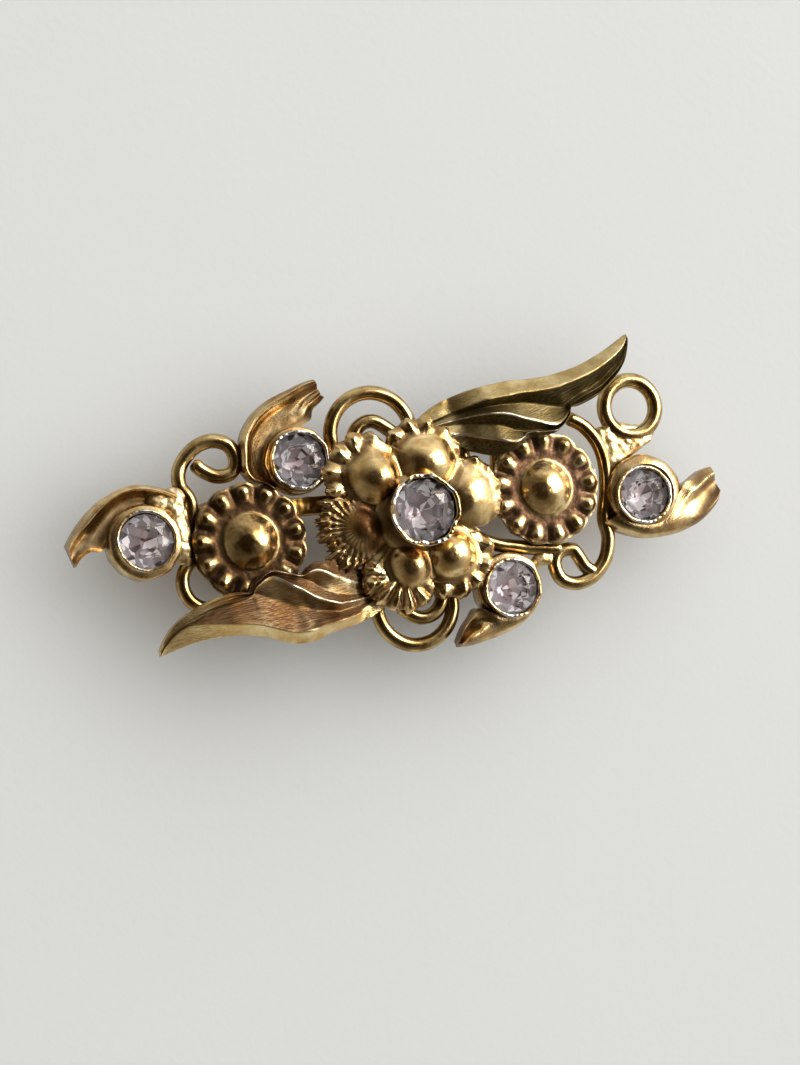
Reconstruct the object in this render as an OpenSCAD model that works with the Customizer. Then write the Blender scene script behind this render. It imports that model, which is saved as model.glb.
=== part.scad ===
// Rhinestone brooch, a gilt brass cluster of scrolls, leaves and flowers.
// It lies on its pin with the face up: X runs along it, Z points out of the face.
// Millimetres. The origin is under the middle of the whole brooch, on the surface.

/* [Pin] */
// Length of the bar that the pin is fixed to
bar_length = 33; // [31:0.5:36]
// Width of the bar
bar_width = 1.5; // [1.3:0.1:1.8]
// Thickness of the bar
bar_thick = 0.85; // [0.7:0.05:0.9]
// Width of the hinge block and the catch block, which the brooch rests on
block_width = 5; // [4:0.5:6]
// Length of each block along the bar
block_length = 2.6; // [2.2:0.2:3.4]
// Diameter of the pin stem
stem_d = 0.9; // [0.7:0.1:1]
// Height of the stem's middle above the surface
stem_z = 1.4; // [1.2:0.1:1.6]

/* [Wire frame] */
// Diameter of the bent wire
wire_d = 1.25; // [1.05:0.05:1.25]
// Height of the wire's middle
wire_z = 5.45; // [5.43:0.01:5.5]
// Height of the underside of the frame
frame_low = 4.8; // [4.78:0.01:4.85]

/* [Stones and cups] */
// Diameter of an outer stone
stone_d = 4.6; // [4.4:0.05:4.65]
// Diameter of the middle stone
middle_stone_d = 5.3; // [5:0.1:5.4]
// Wall of a stone's cup
cup_wall = 0.35; // [0.3:0.05:0.4]
// Height of the rim of an outer cup
cup_top = 7.6; // [7.4:0.05:7.7]
// Height of the rim of the middle cup
middle_cup_top = 11.3; // [10.8:0.1:11.6]

/* [Flowers] */
// Radius of a small flower
small_flower_r = 5; // [4.8:0.05:5.05]
// Number of beads round a small flower
bead_count = 13; // [11:1:14]
// Half the length of a petal, away from the middle
petal_long = 2.9; // [2.7:0.05:3]
// Half the width of a petal
petal_wide = 2.6; // [2.4:0.05:2.7]
// Depth of the flutes on a petal's rim
flute_depth = 0.16; // [0.05:0.01:0.2]

/* [Leaves] */
// Thickness of a leaf at its edge
leaf_edge = 0.45; // [0.35:0.05:0.5]
// Height of a leaf's folds above its valleys
leaf_relief = 0.85; // [0.5:0.05:0.95]
// How far the long edge of the lower leaf bulges past that of the upper one
lower_belly = 1; // [0:0.1:1.1]

/* [Hidden] */

GILT = "#c9a452";
DARK_GILT = "#a5813c";
GLASS = "#d9dce6";

// Room between pieces that are set on or in each other
gap = 0.05;
// Brings the middle of the whole brooch to the origin
centre_shift = [-0.455, -0.835, 0];
bar_z = frame_low - gap - bar_thick;
bar_y = 1.4;
wire_r = wire_d / 2;
wire_sides = 8;
stone_r = stone_d / 2;
cup_r = stone_r + gap + cup_wall;
flower_low = 6.15;
petal_low = 7.35;

// Places of the outer stones and of the flowers in the layout
left_stone = [-22.4, -0.3];
upper_left_stone = [-8.7, 5.2];
lower_right_stone = [8.9, -7.4];
right_stone = [22.1, -0.6];
left_flower = [-13.6, -1.15];
right_flower = [13.15, 0.85];
middle = [0.6, -0.2];
module placed(place) {
    translate(centre_shift) translate([place[0], place[1], 0]) children();
}

// A smooth curve through the rows, with the same number of steps between each two
function curve_point(a, b, c, d, t) =
    0.5 * (2 * b + (c - a) * t + (2 * a - 5 * b + 4 * c - d) * t * t
    + (3 * b - a - 3 * c + d) * t * t * t);
function curve(rows, steps) =
    let (last = len(rows) - 1)
    [for (i = [0:last - 1]) for (k = [0:steps - (i == last - 1 ? 0 : 1)])
        curve_point(rows[max(i - 1, 0)], rows[i], rows[i + 1], rows[min(i + 2, last)], k / steps)];

// An arc in plan, at the given height
function arc(centre, radius, from, to, count, z) =
    [for (i = [0:count]) let (a = from + (to - from) * i / count)
        [centre[0] + radius * cos(a), centre[1] + radius * sin(a), z]];

// The triangles between rings of points, and over the first and last ring
function side_faces(rings, points) =
    [for (i = [0:rings - 2]) for (k = [0:points - 1])
        let (a = i * points + k, b = i * points + (k + 1) % points)
        each [[a, a + points, b], [b, a + points, b + points]]];
function cap_faces(start, points, turned) =
    [for (k = [1:points - 2]) turned ? [start, start + k, start + k + 1]
        : [start, start + k + 1, start + k]];
function flat_list(rings) = [for (ring = rings) each ring];

// A closed solid through rings that all have the same number of points, which run
// anticlockwise when seen with the rings coming towards the eye
module loft(rings) {
    points = len(rings[0]);
    polyhedron(
        points = flat_list(rings),
        faces = concat(
            side_faces(len(rings), points),
            cap_faces(0, points, true),
            cap_faces((len(rings) - 1) * points, points, false)
        )
    );
}

// Flat strip across the back of the frame that the posts and the legs stand on
spine_length = 37;
spine_thick = 0.8;

// Round wire along a route
function unit(v) = v / norm(v);
function wire_ring(route, i) =
    let (along = unit(route[min(i + 1, len(route) - 1)] - route[max(i - 1, 0)]),
        side = unit(cross(along, [0, 0, 1])), rise = cross(side, along))
    [for (k = [0:wire_sides - 1]) let (a = -360 * k / wire_sides)
        route[i] + wire_r * (cos(a) * side + sin(a) * rise)];
module wire(route) {
    loft([for (i = [0:len(route) - 1]) wire_ring(route, i)]);
}

module ring_of_wire(place, radius) {
    translate([place[0], place[1], wire_z])
        rotate_extrude($fn = 20) translate([radius, 0]) circle(r = wire_r, $fn = wire_sides);
}

// The loop that ends each S-shaped wire, in columns x, y, z
loop_route = [
    [-16.5, 5.1, wire_z],
    [-15.4, 4.6, wire_z],
    [-14.2, 4.8, wire_z],
    [-13.7, 5.8, wire_z],
    [-14.2, 7.1, wire_z],
    [-15.6, 7.6, wire_z],
    [-17.2, 7.1, wire_z],
    [-18.5, 5.7, wire_z],
    [-18.8, 4.1, wire_z + 0.3],
    [-18.1, 2.6, wire_z + 0.5]
];
function turned_half(route) = [for (p = route) [-p[0], -p[1], p[2]]];
left_wire = concat(
    [[-17.4, 5.9, wire_z]],
    loop_route,
    [[-18.3, 0, wire_z - 0.05], [-18.4, -2.4, wire_z - 0.05]]
);
right_wire = concat(
    [[17.4, -6.9, wire_z], [16.5, -6.2, wire_z], [15.9, -5.1, wire_z]],
    [for (i = [1:7]) turned_half(loop_route)[i]],
    [[19, -3.9, wire_z], [18.8, -2.2, wire_z], [19.3, 0, wire_z], [19.5, 2.2, wire_z],
        [19.1, 4.3, wire_z], [17.9, 6, wire_z], [16.4, 6.9, wire_z]]
);
// The scrolls at the top and the bottom, an outer arch and a curl a little lower inside it
top_arch = concat(
    [[-5, 1.4, wire_z], [-5.2, 4, wire_z]],
    arc([-1.6, 6.9], 3.62, 185, -5, 14, wire_z),
    [[2.1, 4.6, wire_z], [2.2, 1.4, wire_z]]
);
curl_z = wire_z - 0.05;
top_curl = [
    [-3.5, 1.4, curl_z],
    [-3.5, 5.4, curl_z],
    [-2.9, 7.4, curl_z],
    [-1.6, 8.1, curl_z],
    [-0.3, 7.5, curl_z],
    [1.95, 5.35, curl_z]
];
bottom_arch = concat(
    [[-2.6, 1.4, wire_z], [-2.9, -4, wire_z]],
    arc([0.55, -7.9], 3.4, 175, 365, 14, wire_z),
    [[4.15, -5.1, wire_z], [4.25, 1.4, wire_z]]
);
bottom_curl = concat(
    [[-1.3, 1.4, curl_z]],
    arc([1.25, -7.2], 1.85, 190, 370, 8, curl_z),
    [[3.8, -5.2, curl_z]]
);
cross_z = wire_z + 0.07;
lower_cross = [[14.5, -4.5, cross_z], [11, -4, cross_z], [8, -3.3, cross_z],
    [4.1, -1.3, cross_z]];
// Short legs that carry the upper leaf
leaf_legs = [
    [[6.4, 5.6, wire_z], [6.5, 3.6, wire_z], [6.3, 1.5, wire_z]],
    [[9.6, 5.4, wire_z], [9.5, 3.6, wire_z], [9.2, 1.5, wire_z]]
];

// The horns. Heights across a horn, in columns share of the way from the inner to the
// outer edge, height: a trough has a low floor, a ridged horn a narrow groove
trough = [[0, 6.3], [0.25, 5.95], [0.6, 6], [0.86, 7], [1, 6.4]];
ridged = [[0, 6.7], [0.2, 5.9], [0.45, 7], [0.75, 6.9], [1, 6.1]];

// Sections of each horn about its stone, in columns
// direction and distance of the outer edge, direction and distance of the inner edge
left_horn_rows = [
    [48, 4.9, 48, 2.55],
    [75, 4.7, 75, 2.55],
    [100, 4.8, 100, 2.55],
    [122, 4.9, 125, 2.55],
    [140, 5.15, 158, 2.6],
    [152, 5.45, 184, 3.4],
    [162, 5.8, 184, 4.4],
    [170, 6.15, 188, 5.3],
    [177, 6.5, 194, 6.05]
];
upper_left_horn_rows = [
    [226, 3.15, 226, 2.55],
    [209, 3.5, 209, 2.55],
    [197, 4.35, 197, 2.55],
    [184, 4.75, 184, 2.55],
    [170, 4.8, 170, 2.55],
    [150, 5.15, 145, 2.55],
    [132, 5.35, 115, 2.55],
    [116, 5.55, 85, 2.7],
    [100, 5.8, 65, 3.6],
    [88, 6.15, 65, 4.6],
    [79, 6.65, 61, 5.4],
    [72, 7.06, 59, 6.03]
];
lower_right_horn_rows = [
    [-20, 2.9, -20, 2.55],
    [-60, 3.05, -55, 2.55],
    [-85, 3.45, -90, 2.55],
    [-103, 3.95, -125, 2.6],
    [-116, 4.6, -155, 3.3],
    [-126, 5.4, -151, 4.3],
    [-133, 6.15, -147, 5.4],
    [-138, 6.75, -142, 6.5]
];
right_horn_rows = [
    [-150, 4.1, -150, 2.55],
    [-120, 3.6, -120, 2.55],
    [-90, 3.7, -90, 2.55],
    [-62, 4.25, -58, 2.6],
    [-40, 5.25, -20, 2.9],
    [-28, 6.05, 6, 4],
    [-18, 6.75, 11, 5],
    [-9.5, 7.4, 15, 6.1],
    [-4, 7.714, 15.5, 7.2]
];

// Each horn, in columns place, rows, heights, place and radius of its collar, flip
HORN_PLACE = 0;
HORN_ROWS = 1;
HORN_HEIGHTS = 2;
COLLAR_SHIFT = 3;
COLLAR_R = 4;
HORNS = [
    [left_stone, left_horn_rows, trough, [0, 0], 3.15],
    [upper_left_stone, upper_left_horn_rows, trough, [0.1, 0.05], 2.85],
    [lower_right_stone, lower_right_horn_rows, ridged, [0.1, 0.15], 2.95],
    [right_stone, right_horn_rows, ridged, [0.45, 0.2], 3.6]
];
collar_top = 6.75;
cup_floor = 0.5;

function round_point(turn, distance) = [distance * cos(turn), distance * sin(turn)];
function horn_section(row, heights) =
    let (outer = round_point(row[0], row[1]), inner = round_point(row[2], row[3]))
    concat(
        [[inner[0], inner[1], frame_low + 0.3]],
        [for (h = heights) let (p = inner + (outer - inner) * h[0]) [p[0], p[1], h[1]]],
        [[outer[0], outer[1], frame_low + 0.3]]
    );
function horn_turns_left(rows) = rows[0][0] < rows[len(rows) - 1][0];
module horn(data) {
    rows = data[HORN_ROWS];
    rings = [for (row = rows) horn_section(row, data[HORN_HEIGHTS])];
    translate([data[HORN_PLACE][0], data[HORN_PLACE][1], 0]) difference() {
        union() {
            loft([for (i = [0:len(rings) - 1])
                rings[horn_turns_left(rows) ? i : len(rings) - 1 - i]]);
            translate([data[COLLAR_SHIFT][0], data[COLLAR_SHIFT][1], frame_low])
                cylinder(h = collar_top - frame_low, r = data[COLLAR_R], $fn = 24);
            translate([0, 0, frame_low]) cylinder(h = cup_top - frame_low, r = cup_r, $fn = 24);
        }
        translate([0, 0, frame_low + cup_floor]) cylinder(h = cup_top, r = stone_r + gap, $fn = 24);
    }
}

// Solder that joins the pieces of the frame, in columns first x, y, second x, y,
// third x, y, radius
SOLDER = [
    [-19.5, 3, -19.7, 1, -19.5, -1, 0.62],
    [-18.7, 2, -18.9, 0, -18.7, -1.9, 0.5],
    [-13.5, 6.4, -13.4, 5.2, -13.2, 5.8, 0.5],
    [-5.6, 6.2, -5.4, 5.2, -5.2, 4.4, 0.5],
    [5.6, -6, 6.3, -6.5, 4.4, -6.5, 0.5],
    [12, -5.4, 13.6, -5.2, 13, -4.4, 0.5],
    [19.3, 5.3, 23.7, 4.5, 19.9, 2.4, 0.55],
    [20.2, 5.7, 21.2, 4.9, 24, 5, 0.55],
    [19, -1.7, 19.8, -2.1, 19.6, -0.3, 0.5]
];
solder_z = wire_z - 0.08;
solder_turn = 11;
module solder(row) {
    hull() {
        for (k = [0:2]) translate([row[2 * k], row[2 * k + 1], solder_z]) rotate(solder_turn)
            sphere(r = row[6], $fn = 8);
    }
}

module scroll_frame() {
    color(GILT) translate(centre_shift) {
        for (data = HORNS) horn(data);
        for (row = SOLDER) solder(row);
        wire(curve(left_wire, 2));
        wire(curve(right_wire, 2));
        wire(top_arch);
        wire(curve(top_curl, 2));
        wire(bottom_arch);
        wire(bottom_curl);
        wire(curve(lower_cross, 2));
        for (leg = leaf_legs) wire(leg);
        ring_of_wire([22.5, 7.25], 2.42);
        ring_of_wire([-17.2, -4.1], 2.2);
        translate([-spine_length / 2, bar_y - bar_width / 2, frame_low])
            cube([spine_length, bar_width, spine_thick]);
    }
}

// Leaf. Stations from the tip to the stalk, in columns distance from the tip, outer edge,
// fold, first valley, second fold, second valley, third fold, inner edge
LEAF_ROWS = [
    [0, 0.2, 0.1, 0.03, -0.05, -0.12, -0.18, -0.25],
    [0.5, 0.1, -0.35, -0.6, -0.72, -0.83, -0.92, -1],
    [1.5, -0.05, -0.8, -1.45, -1.62, -1.77, -1.88, -2],
    [3, -0.25, -1.1, -2, -2.25, -2.45, -2.6, -2.75],
    [5, -0.35, -1.3, -2.5, -2.75, -3, -3.2, -3.4],
    [7, -0.25, -1.3, -2.6, -2.85, -3.1, -3.3, -3.5],
    [8.2, -0.05, -1.2, -2.8, -3, -3.1, -3.2, -3.3],
    [8.8, 0.05, -1.1, -3, -3.6, -3.75, -3.88, -4],
    [10.2, 0.45, -0.8, -2.1, -4.1, -4.35, -4.5, -4.65],
    [11.7, 0.95, -0.35, -1.2, -3.1, -3.8, -4.05, -4.3],
    [12.8, 1.3, -0.05, -0.75, -2.2, -3.4, -3.6, -3.75],
    [13.6, 1.5, 0.15, -0.45, -1.5, -2.9, -3.8, -4.2],
    [14.5, 1.7, 0.4, -0.2, -1, -2.1, -3.7, -4.45],
    [16, 1.95, 0.65, 0.2, -0.4, -1.2, -2.6, -4.1],
    [17.5, 2.05, 0.8, 0.45, 0, -0.5, -1.5, -3],
    [19, 2, 0.9, 0.6, 0.3, 0, -0.6, -1.6],
    [21, 1.5, 0.9, 0.75, 0.6, 0.4, 0.2, -0.2]
];
// Height of each of those lines above the leaf's mean level, in shares of the relief
LEAF_LINES = [-0.35, 1, -0.25, 0.75, -0.2, 0.6, -0.25];
// Mean level of the leaf, in columns distance from the tip, height
LEAF_LEVELS = [[0, 6.9], [3, 7.4], [6.4, 8.1], [15, 8.1], [17.6, 6.9], [21, 6.85]];
leaf_body = leaf_edge - leaf_relief * LEAF_LINES[0];

function belly_at(u, belly) = belly * exp(-pow((u - 12) / 2.5, 2));
function leaf_relief_at(u) = leaf_relief * min(1, 0.1 + u / 3) * max(0.12, min(1, (18.4 - u) / 3));
function leaf_section(row, belly) =
    let (u = row[0], level = lookup(u, LEAF_LEVELS), relief = leaf_relief_at(u))
    concat(
        [[-u, row[1] + belly_at(u, belly), level - leaf_body], [-u, row[7], level - leaf_body]],
        [for (k = [7:-1:1]) let (bulge = k < 3 ? belly_at(u, belly) : 0)
            [-u, row[k] + bulge, level + relief * LEAF_LINES[k - 1]]]
    );
module leaf(tip, turn, belly) {
    translate([tip[0], tip[1], 0]) rotate(turn)
        loft([for (row = LEAF_ROWS) leaf_section(row, belly)]);
}
module leaf_upper() {
    color(DARK_GILT) translate(centre_shift) leaf([22.4, 13.4], 20, 0);
}
module leaf_lower() {
    color(DARK_GILT) translate(centre_shift) leaf([-22.2, -9.6], 187, lower_belly);
}

// Post that holds a flower on the spine of the frame
post_r = 1.2;
post_low = frame_low + spine_thick + gap;

// Small flower, a dome in a groove inside a ring of beads, on its post. Its plate in
// columns radius, height above the underside
FLOWER_PLATE = [
    [small_flower_r - 0.5, 0],
    [small_flower_r - 0.15, 0.25],
    [small_flower_r - 0.3, 0.5],
    [3.3, 0.45],
    [2.7, 0.75],
    [2.35, 0.5],
    [0, 0.5]
];
dome_r = 2.15;
dome_rise = 0.6;
bead_ring_r = small_flower_r - 0.8;
bead_r = 0.75;
bead_foot_r = 0.55;
bead_rise = 0.35;
module small_flower() {
    rotate_extrude($fn = 26) polygon(concat(
        [[0, post_low], [post_r, post_low], [post_r, flower_low]],
        [for (row = FLOWER_PLATE) [row[0], flower_low + row[1]]]
    ));
    translate([0, 0, flower_low + dome_rise]) sphere(r = dome_r, $fn = 18);
    for (i = [0:bead_count - 1]) rotate(360 * i / bead_count) hull() {
        translate([bead_ring_r, 0, flower_low + bead_rise]) sphere(r = bead_r, $fn = 8);
        translate([bead_ring_r - 0.6, 0, flower_low + bead_rise]) sphere(r = bead_foot_r, $fn = 6);
    }
}
// The flower with whatever of its dome and beads is under the plate cut off
module trimmed_flower() {
    difference() {
        small_flower();
        difference() {
            cylinder(h = flower_low, r = 2 * small_flower_r, $fn = 16);
            cylinder(h = flower_low, r = post_r, $fn = 26);
        }
        cylinder(h = post_low, r = 2 * post_r, $fn = 16);
    }
}
module flower_left() {
    color(GILT) placed(left_flower) trimmed_flower();
}
module flower_right() {
    color(GILT) placed(right_flower) trimmed_flower();
}

// Large flower. Its petals, in columns direction and distance of the dome, direction and
// distance of the petal's middle, widening of the petal
PETALS = [
    [133, 4.5, 139, 5.2, 1],
    [68, 4.4, 74, 5.15, 1],
    [11, 5.2, 16, 5.2, 1],
    [-54, 4.7, -49, 5.2, 1],
    [-101, 4.5, -111, 5.15, 1.2],
    [-168, 5, -171, 5.4, 1]
];
petal_dome_r = 1.95;
petal_dome_z = 8.01;
flutes = 16;
petal_points = 2 * flutes;
// Rings of a petal from its underside to the foot of its dome, in columns share of its
// reach, height, share of the flutes
PETAL_RINGS = [
    [0.55, petal_low, 0],
    [0.98, petal_low + 0.15, 1],
    [1, petal_low + 0.55, 1],
    [0.84, petal_low + 1, 1],
    [0.62, petal_low + 0.6, 0]
];
function petal_ring(row, widening) =
    [for (k = [0:petal_points - 1])
        let (a = 360 * k / petal_points, outward = max(0, cos((a > 180 ? 360 - a : a) * 0.75)),
            flute = (k % 2 == 0 ? 1 : -1) * flute_depth * row[2] * outward,
            reach = row[0] + flute / 2)
        [petal_long * reach * cos(a), petal_wide * widening * reach * sin(a), row[1] + flute]];
module petal(widening) {
    loft([for (row = PETAL_RINGS) petal_ring(row, widening)]);
}
// Hub of the large flower, from its post to the cup of the middle stone, in columns
// radius, height
seat_depth = 0.6;
middle_seat_r = middle_stone_d / 2 + gap;
middle_cup_r = middle_seat_r + cup_wall;
HUB = [
    [0, post_low],
    [post_r, post_low],
    [post_r, petal_low],
    [3.8, petal_low],
    [3.6, petal_low + 0.8],
    [2.9, petal_low + 1.3],
    [2.8, middle_cup_top - 1.4],
    [middle_cup_r + 0.15, middle_cup_top],
    [middle_cup_r - 0.05, middle_cup_top],
    [middle_seat_r, middle_cup_top - seat_depth],
    [middle_seat_r, middle_cup_top - seat_depth - 0.2],
    [0, middle_cup_top - seat_depth - 2]
];
module flower_centre() {
    color(GILT) placed(middle) {
        for (row = PETALS) rotate(row[2]) translate([row[3], 0, 0]) petal(row[4]);
        for (row = PETALS) rotate(row[0]) translate([row[1], 0, petal_dome_z])
            sphere(r = petal_dome_r, $fn = 14);
        rotate_extrude($fn = 28) polygon(HUB);
    }
}

// Cut stone with a flat table. Its levels from the table to the point, in columns height
// above the girdle and width in shares of the diameter, thickness, sides, turn
STONE_LEVELS = [
    [0.17, 0.56, 0.01, 8, 0],
    [0.1, 0.83, 0.01, 8, 22.5],
    [0, 1, 0.15, 16, 0],
    [-0.3, 0.1, 0.01, 8, 0]
];
module cut_stone(diameter, girdle_z) {
    translate([0, 0, girdle_z]) hull() {
        for (row = STONE_LEVELS) rotate(row[4]) translate([0, 0, row[0] * diameter])
            cylinder(h = row[2], d = row[1] * diameter, $fn = row[3]);
    }
}
module outer_stone(place) {
    color(GLASS) placed(place) cut_stone(stone_d, cup_top - seat_depth);
}
module stone_left() {
    outer_stone(left_stone);
}
module stone_upper_left() {
    outer_stone(upper_left_stone);
}
module stone_lower_right() {
    outer_stone(lower_right_stone);
}
module stone_right() {
    outer_stone(right_stone);
}
module stone_centre() {
    color(GLASS) placed(middle) cut_stone(middle_stone_d, middle_cup_top - seat_depth);
}

// Bar, hinge block, stem and catch block as one plain piece. The stem starts in the hinge
// block and runs through the bore of the catch block
block_y = 0.1;
catch_r = 0.8;
stem_start = 1;
stem_end = 1.5;
module pin_block(x) {
    translate([x, block_y - block_width / 2, 0])
        cube([block_length, block_width, bar_z + bar_thick]);
}
module bar_pin() {
    catch_x = bar_length / 2 - block_length;
    color(DARK_GILT) translate(centre_shift) {
        translate([-bar_length / 2, bar_y - bar_width / 2, bar_z])
            cube([bar_length, bar_width, bar_thick]);
        pin_block(-bar_length / 2);
        difference() {
            pin_block(catch_x);
            translate([catch_x - 1, bar_y, stem_z])
                rotate([0, 90, 0]) cylinder(h = block_length + 2, r = catch_r, $fn = 32);
        }
        translate([-bar_length / 2 + stem_start, bar_y, stem_z]) rotate([0, 90, 0])
            cylinder(h = bar_length - stem_start + stem_end, d = stem_d, $fn = 32);
    }
}

bar_pin();
scroll_frame();
leaf_upper();
leaf_lower();
flower_left();
flower_right();
flower_centre();
stone_left();
stone_upper_left();
stone_lower_right();
stone_right();
stone_centre();
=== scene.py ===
import math

import bmesh
import bpy
from mathutils import Matrix, Vector, noise


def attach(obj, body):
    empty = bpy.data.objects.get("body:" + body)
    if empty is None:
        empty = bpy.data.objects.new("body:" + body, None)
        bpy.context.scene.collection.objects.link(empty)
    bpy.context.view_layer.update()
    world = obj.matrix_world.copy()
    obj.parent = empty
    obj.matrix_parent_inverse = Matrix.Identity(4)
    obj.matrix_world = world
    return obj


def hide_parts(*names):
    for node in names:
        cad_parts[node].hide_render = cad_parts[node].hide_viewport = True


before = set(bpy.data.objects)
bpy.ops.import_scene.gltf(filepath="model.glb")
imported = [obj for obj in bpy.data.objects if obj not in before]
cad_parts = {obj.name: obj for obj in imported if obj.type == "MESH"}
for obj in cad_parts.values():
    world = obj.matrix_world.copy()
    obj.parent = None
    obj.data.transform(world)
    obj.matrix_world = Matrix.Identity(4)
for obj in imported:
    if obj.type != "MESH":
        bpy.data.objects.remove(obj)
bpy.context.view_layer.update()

# Bar pin: a brass bar with a hinge block, a catch block and a round stem, soldered across
# the back. Cast blocks, drawn stem, edges eased by tumbling. Brass that was never polished,
# so it is duller and browner than the front.
MM = 0.001
SHIFT = Vector((-0.455, -0.835, 0))  # brings the layout's middle to the origin, mm
# Sizes of the patterns on all the metal, mm. Real casting grain and scratches are finer than
# a pixel, so the grain and the scratches are drawn coarser here, to show at all.
GRAIN_SIZE = 0.22
SCRATCH_LENGTH = 1.6
SCRATCH_SLIM = 14  # times as long as wide
SWELL_SIZE = 1.1  # waves that hand polishing leaves
CREVICE_WIDTH = 0.9  # gaps narrower than this get painted shade, with some dirt
PALE_WEAR_AND_GLINT = "#c9c5bd"  # where the gilding is rubbed through, and a painted glint on the leaves' folds


def linear(code):
    """The linear colour of an sRGB hex code."""
    parts = [int(code[i:i + 2], 16) / 255 for i in (1, 3, 5)]
    return tuple(p / 12.92 if p <= 0.04045 else ((p + 0.055) / 1.055) ** 2.4
                 for p in parts) + (1,)


def per_mm(size):
    """Scale of a pattern whose features are this many mm, on coordinates in metres."""
    return 1 / (size * MM)


def put(tree, kind, links=None, **settings):
    """Adds a node with its settings, and its sockets linked or set. A node given for a socket
    stands for the first of its outputs that is in use."""
    node = tree.nodes.new(kind)
    for name, value in settings.items():
        setattr(node, name, value)
    for socket, source in (links or {}).items():
        if isinstance(source, bpy.types.Node):
            source = next(output for output in source.outputs if output.enabled)
        if isinstance(source, bpy.types.NodeSocket):
            tree.links.new(source, node.inputs[socket])
        else:
            node.inputs[socket].default_value = source
    return node


def blank_material(name):
    """A new material and its empty node tree."""
    material = bpy.data.materials.new(name)
    material.use_nodes = True
    material.node_tree.nodes.clear()
    return material, material.node_tree


def add_object(name, data):
    piece = bpy.data.objects.new(name, data)
    bpy.context.collection.objects.link(piece)
    return piece


def gilt(name, bright, warm, tarnish_and_shade_colour, rough, waves=0.02, grain=0.006, scratch_turn=0.0,
         scratch=0.0, dirt_and_shade=0.8, patches=1.6, brushed=False):
    """Gilt metal: a colour that wanders between bright and warm in patches of this many mm,
    a darker colour where the piece is marked for painted shade (with some tarnish) and in
    crevices that ambient occlusion finds (painted shade, with some dirt), pale silvery wear
    where it is marked worn, which on leaf folds is also a painted glint, and a surface of
    waves, grain and scratches of these depths in mm. The edges of the painted shade, tarnish,
    wear and glint follow the grain, or the scratches on brushed metal."""
    material, tree = blank_material(name)
    where = put(tree, "ShaderNodeTexCoord").outputs["Object"]
    cloud = put(tree, "ShaderNodeTexNoise", {
        "Vector": where, "Scale": per_mm(patches), "Detail": 4.0, "Roughness": 0.6})
    fleck = put(tree, "ShaderNodeTexNoise", {
        "Vector": where, "Scale": per_mm(GRAIN_SIZE), "Detail": 3.0, "Roughness": 0.7})
    slim = 1 / SCRATCH_SLIM
    streaks = put(tree, "ShaderNodeMapping", {
        "Vector": where, "Rotation": (0, 0, scratch_turn), "Scale": (1, slim, slim)},
        vector_type="TEXTURE")
    lines = put(tree, "ShaderNodeTexNoise", {
        "Vector": streaks, "Scale": per_mm(SCRATCH_LENGTH), "Detail": 3.0})
    speck = lines if brushed else fleck
    spread = put(tree, "ShaderNodeMapRange", {"Value": cloud, "From Min": 0.38, "From Max": 0.64})
    base = put(tree, "ShaderNodeMix", {
        "Factor": spread, "A": linear(warm), "B": linear(bright)}, data_type="RGBA")
    # Per-point mark: painted shade in troughs, creases, cup insides and turned-away leaf faces,
    # with some tarnish.
    shade_and_tarnish = put(tree, "ShaderNodeAttribute", attribute_name="shade_and_tarnish")
    # Ambient occlusion darkens narrow gaps: painted shade, with some dirt.
    crevice = put(tree, "ShaderNodeAmbientOcclusion", {"Distance": CREVICE_WIDTH * MM}, samples=6)
    shut = put(tree, "ShaderNodeMapRange", {
        "Value": crevice.outputs["AO"], "From Min": 0.75, "From Max": 0.2, "To Max": dirt_and_shade})
    deep = put(tree, "ShaderNodeMath", {0: shade_and_tarnish.outputs["Fac"], 1: shut}, operation="MAXIMUM")
    torn = put(tree, "ShaderNodeMath", {0: speck, 1: 0.5, 2: deep}, operation="MULTIPLY_ADD")
    dark = put(tree, "ShaderNodeMapRange", {"Value": torn, "From Min": 0.3, "From Max": 1.15})
    dull = put(tree, "ShaderNodeMix", {
        "Factor": dark, "A": base, "B": linear(tarnish_and_shade_colour)}, data_type="RGBA")
    # Per-point mark: pale bare metal where the gilding is rubbed through, and a painted glint on
    # the leaves' folds.
    wear_and_glint = put(tree, "ShaderNodeAttribute", attribute_name="wear_and_glint")
    pale_mark = put(tree, "ShaderNodeMath", {
        0: speck, 1: 0.9, 2: wear_and_glint.outputs["Fac"]}, operation="MULTIPLY_ADD")
    pale_share = put(tree, "ShaderNodeMapRange", {"Value": pale_mark, "From Min": 0.75, "From Max": 1.05})
    colour = put(tree, "ShaderNodeMix", {
        "Factor": pale_share, "A": dull, "B": linear(PALE_WEAR_AND_GLINT)}, data_type="RGBA")
    sheen = put(tree, "ShaderNodeMath", {
        0: fleck, 1: 0.22, 2: rough - 0.11}, operation="MULTIPLY_ADD")
    sheen = put(tree, "ShaderNodeMath", {
        0: dark, 1: 0.25, 2: sheen}, operation="MULTIPLY_ADD", use_clamp=True)
    swell = put(tree, "ShaderNodeTexNoise", {
        "Vector": where, "Scale": per_mm(SWELL_SIZE), "Detail": 1.0})
    relief = 0.0
    for pattern, depth in ((swell, waves), (fleck, grain), (lines, scratch)):
        relief = put(tree, "ShaderNodeMath", {
            0: pattern, 1: depth, 2: relief}, operation="MULTIPLY_ADD")
    bump = put(tree, "ShaderNodeBump", {"Height": relief, "Distance": MM, "Strength": 1.0})
    skin = put(tree, "ShaderNodeBsdfPrincipled", {
        "Base Color": colour, "Metallic": 1.0, "Roughness": sheen, "Normal": bump})
    put(tree, "ShaderNodeOutputMaterial", {"Surface": skin})
    return material


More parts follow.
